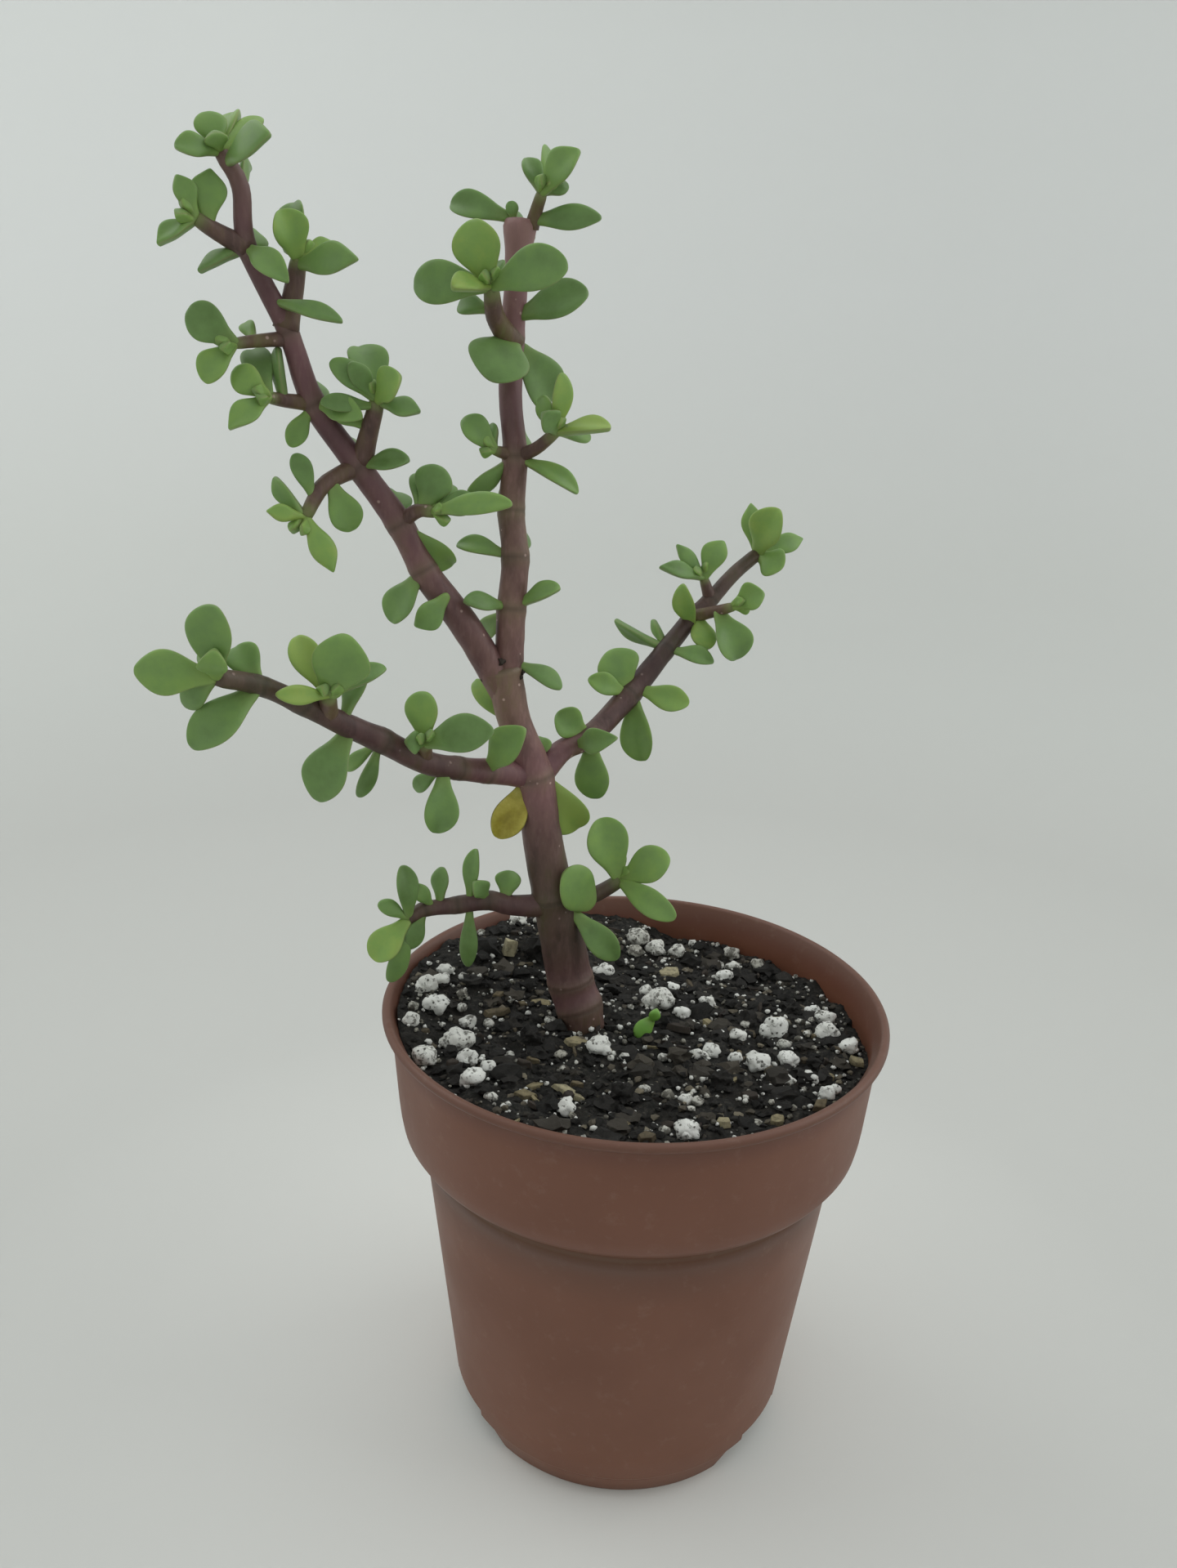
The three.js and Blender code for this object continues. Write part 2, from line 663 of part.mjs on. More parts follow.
const plant = new THREE.Group();
plant.add(meshOf('pot', potSolid(), colours.pot, 0.55));
plant.add(meshOf('soil', soilSolid(), colours.soil, 0.95));
for (const [name, stem] of Object.entries(stems)) {
  plant.add(meshOf(name, leafyStemSolid(stem), stem.colour ?? colours.leaf, 0.5));
}
const paleLeaf = leafSolid(stems[yellowLeaf.on], yellowLeaf.row);
const paleLeafCut = largestPiece(paleLeaf.subtract(stemSolid(stems[yellowLeaf.on], gap)));
plant.add(meshOf('yellow_leaf', paleLeafCut, colours.yellowLeaf, 0.5));

const box = new THREE.Box3().setFromObject(plant);
const middle = box.getCenter(new THREE.Vector3());
plant.position.set(-middle.x, -middle.y, -box.min.z);

export default plant;
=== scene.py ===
import bpy, bmesh
import random
from math import acos, asin, atan2, cos, degrees, exp, hypot, pi, radians, sin, sqrt
from mathutils import Matrix, Vector, noise


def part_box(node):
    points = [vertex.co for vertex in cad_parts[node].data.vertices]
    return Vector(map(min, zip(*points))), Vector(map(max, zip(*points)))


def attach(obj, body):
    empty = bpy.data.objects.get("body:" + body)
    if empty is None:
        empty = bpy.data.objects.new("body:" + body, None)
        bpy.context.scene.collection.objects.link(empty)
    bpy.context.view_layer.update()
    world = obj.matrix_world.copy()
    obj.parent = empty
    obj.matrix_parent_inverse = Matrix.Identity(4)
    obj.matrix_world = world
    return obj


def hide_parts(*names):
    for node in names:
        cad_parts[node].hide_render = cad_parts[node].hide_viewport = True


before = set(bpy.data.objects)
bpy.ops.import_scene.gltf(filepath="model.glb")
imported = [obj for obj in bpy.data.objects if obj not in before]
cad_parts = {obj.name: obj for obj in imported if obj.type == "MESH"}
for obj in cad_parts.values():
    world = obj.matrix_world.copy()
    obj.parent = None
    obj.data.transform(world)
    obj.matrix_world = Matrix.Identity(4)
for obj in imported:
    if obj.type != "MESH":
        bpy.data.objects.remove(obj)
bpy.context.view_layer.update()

mm = 0.001
potLow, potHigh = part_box("pot")
potAxis = Vector(((potLow.x + potHigh.x) / 2, (potLow.y + potHigh.y) / 2, potLow.z))
intoFrame = Matrix.Translation(potAxis) @ Matrix.Scale(mm, 4)  # millimetres round the pot's axis, to metres


def spot(x, y, z):
    # millimetres from the middle of the pot's foot, to metres in the frame
    return potAxis + Vector((x, y, z)) * mm


def blendStep(low, high, value):
    share = min(max((value - low) / (high - low), 0.0), 1.0)
    return share * share * (3 - 2 * share)


# ---- colours, nodes and finished pieces ----

def colour(hexCode):
    # sRGB hex to linear
    channels = [int(hexCode[i:i + 2], 16) / 255 for i in (1, 3, 5)]
    return [c / 12.92 if c <= 0.04045 else ((c + 0.055) / 1.055) ** 2.4 for c in channels] + [1.0]


def addNode(tree, kind, settings=None, values=None, links=None, stops=None):
    # a link comes from a socket, or from the first output of a node
    node = tree.nodes.new("ShaderNode" + kind)
    for key, value in (settings or {}).items():
        setattr(node, key, value)
    for key, value in (values or {}).items():
        node.inputs[key].default_value = value
    for key, source in (links or {}).items():
        socket = source.outputs[0] if isinstance(source, bpy.types.Node) else source
        tree.links.new(socket, node.inputs[key])
    if stops:
        while len(node.color_ramp.elements) < len(stops):
            node.color_ramp.elements.new(0.5)
        for element, (place, hexCode) in zip(node.color_ramp.elements, stops):
            element.position = place
            element.color = colour(hexCode)
    return node


def newMaterial(name):
    # an empty material, its tree, and the object coordinates that its patterns read
    material = bpy.data.materials.new(name)
    material.use_nodes = True
    tree = material.node_tree
    tree.nodes.clear()
    return material, tree, addNode(tree, "TexCoord").outputs["Object"]


def startMesh(*layers):
    bm = bmesh.new()
    for name in layers:
        bm.verts.layers.float.new(name)
    return bm


def addObject(name, data):
    made = bpy.data.objects.new(name, data)
    bpy.context.scene.collection.objects.link(made)
    return made


def meshObject(name, bm, smooth=True):
    mesh = bpy.data.meshes.new(name)
    bm.to_mesh(mesh)
    bm.free()
    for face in mesh.polygons:
        face.use_smooth = smooth
    return addObject(name, mesh)


def finishPiece(name, bm, material, replaced, smooth=True, subdivide=0):
    bmesh.ops.recalc_face_normals(bm, faces=bm.faces)
    piece = meshObject(name, bm, smooth)
    piece.data.materials.append(material)
    if subdivide:
        rounded = piece.modifiers.new("Rounded", "SUBSURF")
        rounded.levels = subdivide
        rounded.render_levels = subdivide
    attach(piece, "root")
    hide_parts(*replaced)
    return piece


def spinOutline(outline, steps, closed=False):
    # a half outline of (distance from the axis, height), turned all the way round
    bm = bmesh.new()
    chain = [bm.verts.new((r, 0, z)) for r, z in outline]
    pairs = list(zip(chain, chain[1:])) + ([(chain[-1], chain[0])] if closed else [])
    geometry = chain + [bm.edges.new(pair) for pair in pairs]
    bmesh.ops.spin(bm, geom=geometry, cent=(0, 0, 0), axis=(0, 0, 1), angle=2 * pi, steps=steps,
                   use_merge=True)
    bmesh.ops.remove_doubles(bm, verts=bm.verts, dist=1e-4)
    bmesh.ops.recalc_face_normals(bm, faces=bm.faces)
    return bm


# ---- camera and room ----

cameraSetup = {
    "place": (-10.8, -211.4, 206.6),  # mm, a hand-held phone close in front
    "pitch": 18.33,  # degrees below level
    "roll": 2.03,
    "lens": 27.03,  # mm on a 36 mm high frame
}


def makeCamera():
    data = bpy.data.cameras.new("Camera")
    data.sensor_fit = "VERTICAL"
    data.sensor_height = 36
    data.lens = cameraSetup["lens"]
    data.clip_start = 0.01
    camera = addObject("Camera", data)
    turn = Matrix.Rotation(radians(90 - cameraSetup["pitch"]), 4, "X")
    roll = Matrix.Rotation(radians(cameraSetup["roll"]), 4, "Z")
    camera.matrix_world = Matrix.Translation(spot(*cameraSetup["place"])) @ turn @ roll
    bpy.context.scene.camera = camera


room = {
    "floorRadius": 0.9,  # metres, flat round the pot, then curving up all round
    "curve": 0.9,
    "wallHeight": 1.6,
    "steps": (64, 8),  # faces round the room and up its curve
    "length": 2.6,  # metres of paper from the pot out and up the wall
    # painted light by share of that length: paler round the pot, darker a little way out, paler again up the
    # wall
    "paper": [(0.0, "#f2f2ee"), (0.02, "#e6e6e2"), (0.04, "#d8d8d4"), (0.06, "#cececa"), (0.15, "#c6c6c2"),
              (0.25, "#cbccc8"), (0.36, "#d0d1cd"), (0.46, "#d4d5d1"), (0.75, "#e4e5e3"), (0.95, "#eeefed")],
    "across": (1.05, 0.95),  # painted light: brightness of the paper half a metre to the left and right
    "world": "#e4e9ea",
    "worldStrength": 0.62,
    "aim": (0, 0, 0.13),  # the lights point at the middle of the plant
    # name: place in metres, width, height, watts, colour
    "lights": {
        "windowLeft": ((-1.1, 0.35, 1.25), 1.4, 1.2, 4.2, "#fafcfb"),
        "windowRight": ((1.2, 0.1, 0.9), 1.2, 1.2, 5.6, "#fafcfb"),
        "ceiling": ((0.0, 0.35, 1.5), 2.2, 1.6, 6.0, "#fafcfb"),
        "frontFill": ((-0.25, -1.25, 0.75), 0.9, 0.7, 0.2, "#ffffff"),
    },
}


def backgroundPaper():
    # matt background paper with no gloss; its colour holds painted light:
    # paler round the pot and up the wall, and brighter to the left
    material, tree, place = newMaterial("mattBackgroundPaper")
    flat = addNode(tree, "VectorMath", {"operation": "MULTIPLY"}, {1: (1, 1, 0)}, {0: place})
    out = addNode(tree, "VectorMath", {"operation": "LENGTH"}, links={0: flat})
    axes = addNode(tree, "SeparateXYZ", links={"Vector": place})
    reach = addNode(tree, "Math", {"operation": "ADD"}, links={0: out.outputs["Value"], 1: axes.outputs["Z"]})
    share = addNode(tree, "Math", {"operation": "DIVIDE"}, {1: room["length"]}, {0: reach})
    # painted light: the tint by distance from the pot, then scaled brighter to the left
    tint = addNode(tree, "ValToRGB", links={"Fac": share}, stops=room["paper"])
    left, right = room["across"]
    level = addNode(tree, "MapRange", links={"Value": axes.outputs["X"]}, values={
        "From Min": -0.5, "From Max": 0.5, "To Min": left, "To Max": right})
    scaled = addNode(tree, "VectorMath", {"operation": "SCALE"}, links={"Vector": tint, "Scale": level})
    shader = addNode(tree, "BsdfPrincipled", values={"Roughness": 0.95, "Specular IOR Level": 0.1},
                     links={"Base Color": scaled})
    addNode(tree, "OutputMaterial", links={"Surface": shader})
    return material


def makeRoom():
    radius, curve = room["floorRadius"], room["curve"]
    around, upward = room["steps"]
    outline = [(0, 0)]
    for i in range(upward + 1):
        angle = pi / 2 * i / upward
        outline.append((radius + curve * sin(angle), curve * (1 - cos(angle))))
    outline.append((radius + curve, room["wallHeight"]))
    bm = spinOutline(outline, around)
    if sum(face.normal.z for face in bm.faces) < 0:
        bmesh.ops.reverse_faces(bm, faces=bm.faces)
    backdrop = meshObject("backdrop", bm)
    backdrop.data.materials.append(backgroundPaper())

    world = bpy.data.worlds.new("Room")
    bpy.context.scene.world = world
    world.use_nodes = True
    background = world.node_tree.nodes["Background"]
    background.inputs["Color"].default_value = colour(room["world"])
    background.inputs["Strength"].default_value = room["worldStrength"]
    for name, (place, width, height, watts, tint) in room["lights"].items():
        data = bpy.data.lights.new(name, "AREA")
        data.shape = "RECTANGLE"
        data.size = width
        data.size_y = height
        data.energy = watts
        data.color = colour(tint)[:3]
        aim = Vector(room["aim"]) - Vector(place)
        turn = aim.to_track_quat("-Z", "Y").to_matrix().to_4x4()
        addObject(name, data).matrix_world = Matrix.Translation(place) @ turn
    bpy.context.scene.view_settings.view_transform = "Standard"


makeCamera()
makeRoom()
print("camera and room made")

# ---- pot ----

potShape = {
    "steps": 144,
    "wall": 1.2,  # mm, thin moulded wall
    "floor": (4.5, 5.7),  # underside and top of the floor
    "heel": [(34.2, 4.5), (34.9, 4.7), (35.35, 5.1)],  # rounded edge under the body
    "body": [(35.6, 5.6), (42.1, 62.3)],
    "shoulder": [(42.1, 62.3), (42.6, 63.7), (44.0, 65.3), (45.5, 66.5), (46.4, 68.0), (46.8, 70.2),
                 (47.1, 73.0)],
    "collarTop": (48.35, 89.4),
    "lip": (49.2, 91.2, 0.9),  # radius and height of the rolled lip's middle, and its own radius
    "lipTurn": (-90, 167.4),  # degrees, from the collar over the top to the inside
    "corner": (0.7, 0.6),  # the inner corner at the floor: in and up
    "footOuter": (33.4, 34.9),  # at the table and at the floor
    "footInner": 28.0,
    "footEdge": 0.3,  # bevel at the table
    "footJoin": (0.4, 0.6),  # where the foot ring runs up into the floor: in and up
    "gaps": (-34, 86, 206),  # degrees, where the foot ring is cut
    "gapWidths": (24.0, 20.0),  # at the table and at the floor
    "gapReach": (18, 42),  # from the axis, inner and outer end of the cut
    "slot": (14.0, 6.9, 30.5),  # drain slot: width, top, inner end
    "height": 92,  # that the tints and the painted shade are measured by
    # tints by share of the height; from 0.63 to 0.705 they are painted shade under the collar's overhang,
    # with a paler, greyer stop at 0.685 that paints light into the step's own shadow
    "tintsAndCollarShade": [(0.0, "#7c4f3a"), (0.4, "#774a36"), (0.56, "#764935"), (0.63, "#6b4433"), (0.665, "#624437"),
              (0.685, "#6b5448"), (0.705, "#6a4a3c"), (0.74, "#774a37"), (0.93, "#774a37"), (0.96, "#6f4435"),
              (0.985, "#6b4638"), (1.0, "#6c483a")],
}


def straight(start, end, steps, numbers):
    # points on the line from start to end
    (r0, z0), (r1, z1) = start, end
    return [(r0 + (r1 - r0) * i / steps, z0 + (z1 - z0) * i / steps) for i in numbers]


def potOutline():
    # up the outside, round the lip and down the inside
    outer = potShape["heel"] + straight(*potShape["body"], 12, range(12)) + potShape["shoulder"]
    outer += straight(outer[-1], potShape["collarTop"], 4, range(1, 5))
    middle, height, bead = potShape["lip"]
    start, end = (radians(angle) for angle in potShape["lipTurn"])
    lip = []
    for i in range(11):
        angle = start + (end - start) * i / 10
        lip.append((middle + bead * cos(angle), height + bead * sin(angle)))
    inner = [(r - potShape["wall"], z) for r, z in reversed(outer[len(potShape["heel"]):])]
    inward, upward = potShape["corner"]
    level = potShape["floor"][1]
    foot = inner[-1][0]
    inner[-1:] = [(foot, level + upward), (foot - inward, level)]
    return outer + lip + inner


def potObject(name, bm):
    # made in mm round the pot's axis
    bmesh.ops.transform(bm, matrix=intoFrame, verts=bm.verts)
    return meshObject(name, bm)


def cutterBlock(name, angle, place):
    # a block with its corners put in their places, then turned round the pot's axis
    bm = bmesh.new()
    bmesh.ops.create_cube(bm, size=1)
    for v in bm.verts:
        v.co = Vector(place(*v.co))
    bmesh.ops.transform(bm, matrix=Matrix.Rotation(radians(angle), 4, "Z"), verts=bm.verts)
    return potObject(name, bm)


def combine(base, others, operation):
    for other in others:
        cut = base.modifiers.new("Cut", "BOOLEAN")
        cut.operation = operation
        cut.solver = "EXACT"
        cut.object = other
    bpy.context.view_layer.update()
    ready = base.evaluated_get(bpy.context.evaluated_depsgraph_get())
    mesh = bpy.data.meshes.new_from_object(ready)
    base.modifiers.clear()
    base.data = mesh
    for other in others:
        bpy.data.objects.remove(other)
    return base


def potPlastic():
    # injection-moulded polypropylene, coloured through: satin, with a fine grain and faint dust and scuffs,
    # and painted shade in a band under the collar
    material, tree, place = newMaterial("mouldedPolypropylene")
    height = addNode(tree, "SeparateXYZ", links={"Vector": place}).outputs["Z"]
    share = addNode(tree, "MapRange", values={"From Max": potShape["height"] * mm}, links={"Value": height})
    # colour by height, with the painted shade under the collar
    tint = addNode(tree, "ValToRGB", links={"Fac": share}, stops=potShape["tintsAndCollarShade"]).outputs[0]
    clouds = addNode(tree, "TexNoise", values={"Scale": 1 / (22 * mm), "Detail": 3}, links={"Vector": place})
    dust = addNode(tree, "TexNoise", values={"Scale": 1 / (3 * mm), "Detail": 6, "Roughness": 0.7},
                   links={"Vector": place})
    for pattern, low, high, most, hexCode in ((clouds, 0.35, 0.7, 0.35, "#6a4333"),
                                              (dust, 0.56, 0.8, 0.22, "#9b8474")):
        amount = addNode(tree, "MapRange", values={"From Min": low, "From Max": high, "To Max": most},
                         links={"Value": pattern})
        mixed = addNode(tree, "Mix", {"data_type": "RGBA"}, {7: colour(hexCode)}, {0: amount, 6: tint})
        tint = mixed.outputs[2]
    rough = addNode(tree, "MapRange", values={
        "From Min": 0.3, "From Max": 0.7, "To Min": 0.42, "To Max": 0.56}, links={"Value": clouds})
    # the hollow under the collar is dull
    shine = addNode(tree, "ValToRGB", links={"Fac": share}, stops=[
        (0.655, "#bcbcbc"), (0.675, "#303030"), (0.71, "#303030"), (0.735, "#bcbcbc")])
    # the mould's fine grain is about 0.3 mm, drawn at 0.7 mm so that it shows
    grain = addNode(tree, "TexNoise", values={"Scale": 1 / (0.7 * mm)}, links={"Vector": place})
    bump = addNode(tree, "Bump", values={"Strength": 0.12, "Distance": 0.1 * mm}, links={"Height": grain})
    shader = addNode(tree, "BsdfPrincipled", values={"IOR": 1.49}, links={
        "Base Color": tint, "Specular IOR Level": shine, "Roughness": rough, "Normal": bump})
    addNode(tree, "OutputMaterial", links={"Surface": shader})
    return material


def makePot():
    low, high = potShape["floor"]
    pot = potObject("nurseryPot", spinOutline([(0, low)] + potOutline() + [(0, high)], potShape["steps"]))

    (atTable, atFloor), foot, edge = potShape["footOuter"], potShape["footInner"], potShape["footEdge"]
    inward, upward = potShape["footJoin"]
    ringOutline = [(foot, edge), (foot + edge, 0), (atTable - edge, 0), (atTable, edge), (atFloor, low),
                   (atFloor - inward, low + upward), (foot, low + upward)]
    ring = potObject("footRing", spinOutline(ringOutline, potShape["steps"], closed=True))
    wide, narrow = potShape["gapWidths"]
    start, end = potShape["gapReach"]
    width, top, inner = potShape["slot"]
    gaps = []
    slots = []
    for angle in potShape["gaps"]:
        gaps.append(cutterBlock("gap", angle, lambda x, y, z: (
            start if x < 0 else end, y * (wide if z < 0 else narrow), -1 if z < 0 else low)))
        slots.append(cutterBlock("slot", angle, lambda x, y, z: (
            inner if x < 0 else end, y * width, low - 1 if z < 0 else top)))
    ring = combine(ring, gaps, "DIFFERENCE")
    pot = combine(pot, [ring], "UNION")
    pot = combine(pot, slots, "DIFFERENCE")
    pot.data.materials.clear()
    pot.data.materials.append(potPlastic())
    for face in pot.data.polygons:
        face.use_smooth = True
    pot.data.set_sharp_from_angle(angle=radians(38))
    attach(pot, "root")
    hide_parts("pot")


makePot()
print("pot made")

# ---- soil ----

soilShape = {
    "level": 85.0,  # mm above the table
    "slope": (-0.025, -0.02),
    "bank": (5.2, 14, 42),  # height of the bank at the back left, where it starts and where it is full
    "radius": 47.1,
    "cell": 0.55,
    # share of the radius and height, down the inside of the pot to its floor
    "skirt": [(0.965, 80.0), (0.935, 68.0), (0.865, 61.0), (0.722, 6.0)],
}


def soilHeight(x, y):
    # mm above the table: long waves, lumps and crumbs on a sloping bed, with the bank at the back left
    place = Vector((x, y, 3.7))
    ripple = sin(0.33 * x + 1) * cos(0.29 * y) + 0.6 * sin(0.21 * (x + y))
    lumps = 1.1 * noise.noise(place * 0.16) + 0.75 * noise.noise(place * 0.38)
    crumb = 0.5 * noise.noise(place * 0.85) + 0.26 * noise.noise(place * 2.1)
    high, start, full = soilShape["bank"]
    plain = soilShape["level"] + soilShape["slope"][0] * x + soilShape["slope"][1] * y
    return plain + high * blendStep(start, full, 0.6 * y - 0.8 * x) + 0.45 * ripple + lumps + crumb


def peatMaterial():
    # damp peat: nearly black, with brown fibre and no gloss
    material, tree, place = newMaterial("dampPeat")
    shade = addNode(tree, "Attribute", {"attribute_name": "shade"}).outputs["Fac"]
    fibre = addNode(tree, "TexNoise", values={"Scale": 1 / (1.1 * mm), "Detail": 8, "Roughness": 0.75},
                    links={"Vector": place})
    patch = addNode(tree, "TexNoise", values={"Scale": 1 / (6 * mm)}, links={"Vector": place})
    dark = addNode(tree, "ValToRGB", links={"Fac": fibre}, stops=[
        (0.32, "#161615"), (0.5, "#2b2a28"), (0.62, "#45423d"), (0.78, "#726c61")])
    brown = addNode(tree, "MapRange", values={"From Min": 0.45, "From Max": 0.7, "To Max": 0.5},
                    links={"Value": patch})
    mixed = addNode(tree, "Mix", {"data_type": "RGBA"}, {7: colour("#26221d")}, {0: brown, 6: dark})
    crumbTint = addNode(tree, "ValToRGB", links={"Fac": shade}, stops=[
        (0.0, "#1f1e1d"), (0.45, "#343230"), (0.7, "#575148"), (0.88, "#857c6b"), (1.0, "#a69c86")])
    isCrumb = addNode(tree, "Math", {"operation": "GREATER_THAN"}, {1: 0.001}, {0: shade})
    crumbShare = addNode(tree, "Math", {"operation": "MULTIPLY"}, {1: 0.75}, {0: isCrumb})
    final = addNode(tree, "Mix", {"data_type": "RGBA"}, links={
        0: crumbShare, 6: mixed.outputs[2], 7: crumbTint})
    bump = addNode(tree, "Bump", values={"Strength": 1.0, "Distance": 0.5 * mm}, links={"Height": fibre})
    shader = addNode(tree, "BsdfPrincipled", values={"Roughness": 0.88, "Specular IOR Level": 0.25},
                     links={"Base Color": final.outputs[2], "Normal": bump})
    addNode(tree, "OutputMaterial", links={"Surface": shader})
    return material


def perliteMaterial():
    # expanded volcanic glass: chalky white, full of small dark pits
    material, tree, place = newMaterial("expandedPerlite")
    shade = addNode(tree, "Attribute", {"attribute_name": "shade"}).outputs["Fac"]
    pits = addNode(tree, "TexVoronoi", values={"Scale": 1 / (1.2 * mm)}, links={"Vector": place})
    grime = addNode(tree, "TexNoise", values={"Scale": 1 / (1.3 * mm), "Detail": 5, "Roughness": 0.7},
                    links={"Vector": place})
    tint = addNode(tree, "ValToRGB", links={"Fac": shade}, stops=[
        (0.0, "#e9e9e4"), (0.5, "#d9d8d1"), (0.8, "#b3b0a5"), (1.0, "#8d8a7d")]).outputs[0]
    worn = addNode(tree, "Math", {"operation": "MULTIPLY_ADD"}, {1: 0.16}, {0: shade, 2: grime})
    dirt = addNode(tree, "MapRange", values={"From Min": 0.56, "From Max": 0.65, "To Max": 0.85},
                   links={"Value": worn})
    pitDepth = addNode(tree, "MapRange", links={"Value": pits.outputs["Distance"]}, values={
        "From Min": 0.12, "From Max": 0.25, "To Min": 0.9, "To Max": 0.0})
    for amount, hexCode in ((dirt, "#4e4b44"), (pitDepth, "#4b4842")):
        mixed = addNode(tree, "Mix", {"data_type": "RGBA"}, {7: colour(hexCode)}, {0: amount, 6: tint})
        tint = mixed.outputs[2]
    relief = addNode(tree, "Math", {"operation": "SUBTRACT"}, links={0: grime, 1: pitDepth})
    bump = addNode(tree, "Bump", values={"Strength": 0.8, "Distance": 0.3 * mm}, links={"Height": relief})
    shader = addNode(tree, "BsdfPrincipled", values={"Roughness": 0.9, "Specular IOR Level": 0.2},
                     links={"Base Color": tint, "Normal": bump})
    addNode(tree, "OutputMaterial", links={"Surface": shader})
    return material


def barkMaterial():
    # composted bark and grit: tan to dark brown, dry, with a grain along each chip
    material, tree, place = newMaterial("compostedBark")
    shade = addNode(tree, "Attribute", {"attribute_name": "shade"}).outputs["Fac"]
    tint = addNode(tree, "ValToRGB", links={"Fac": shade}, stops=[
        (0.0, "#302a27"), (0.35, "#47403a"), (0.6, "#716650"), (0.8, "#958a6b"), (1.0, "#b2a98b")])
    grain = addNode(tree, "TexNoise", values={"Scale": 1 / (0.9 * mm), "Detail": 6, "Roughness": 0.7},
                    links={"Vector": place})
    amount = addNode(tree, "MapRange", values={"From Min": 0.42, "From Max": 0.7, "To Max": 0.65},
                     links={"Value": grain})
    mixed = addNode(tree, "Mix", {"data_type": "RGBA"}, {7: colour("#2f2a25")}, {0: amount, 6: tint})
    bump = addNode(tree, "Bump", values={"Strength": 0.7, "Distance": 0.25 * mm}, links={"Height": grain})
    shader = addNode(tree, "BsdfPrincipled", values={"Roughness": 0.85, "Specular IOR Level": 0.25},
                     links={"Base Color": mixed.outputs[2], "Normal": bump})
    addNode(tree, "OutputMaterial", links={"Surface": shader})
    return material


def makeSoilBed():
    bm = startMesh("shade")
    radius = soilShape["radius"]
    cells = int(2 * radius / soilShape["cell"])
    bmesh.ops.create_grid(bm, x_segments=cells, y_segments=cells, size=radius)
    outside = [v for v in bm.verts if hypot(v.co.x, v.co.y) > radius]
    bmesh.ops.delete(bm, geom=outside, context="VERTS")
    for v in bm.verts:
        if v.is_boundary:
            v.co *= radius / v.co.length
        v.co.z = soilHeight(v.co.x, v.co.y)
    for share, level in soilShape["skirt"]:
        edges = [e for e in bm.edges if e.is_boundary]
        skirt = bmesh.ops.extrude_edge_only(bm, edges=edges)["geom"]
        for v in skirt:
            if isinstance(v, bmesh.types.BMVert):
                turn = atan2(v.co.y, v.co.x)
                v.co = Vector((radius * share * cos(turn), radius * share * sin(turn), level))
    bmesh.ops.holes_fill(bm, edges=[e for e in bm.edges if e.is_boundary])
    bmesh.ops.transform(bm, matrix=intoFrame, verts=bm.verts)
    finishPiece("peatBed", bm, peatMaterial(), ["soil"])


def addLump(bm, x, y, size, squash, rough, detail, shade, seed, sink=0.15, wave=3.1, z=None):
    # a lump with a noisy surface, part sunk in the soil unless its height is given
    layer = bm.verts.layers.float["shade"]
    made = bmesh.ops.create_icosphere(bm, subdivisions=detail, radius=0.5)["verts"]
    turn = Matrix.Rotation(seed * 1.7, 3, "Z") @ Matrix.Rotation(seed * 0.9, 3, "X")
    centre = spot(x, y, soilHeight(x, y) + size * squash * (0.5 - sink) if z is None else z)
    for v in made:
        bend = 1 + rough * (noise.noise(v.co * wave + Vector((seed, x, y)))
                            + 0.5 * noise.noise(v.co * 2.4 * wave + Vector((y, seed, x))))
        shape = turn @ (v.co * bend)
        v.co = centre + Vector((shape.x, shape.y * 0.88, shape.z * squash)) * size * mm
        v[layer] = shade


def scatter(draw, radius):
    # an even spread over the soil
    reach = radius * sqrt(draw.random())
    turn = draw.uniform(0, 2 * pi)
    return reach * cos(turn), reach * sin(turn)


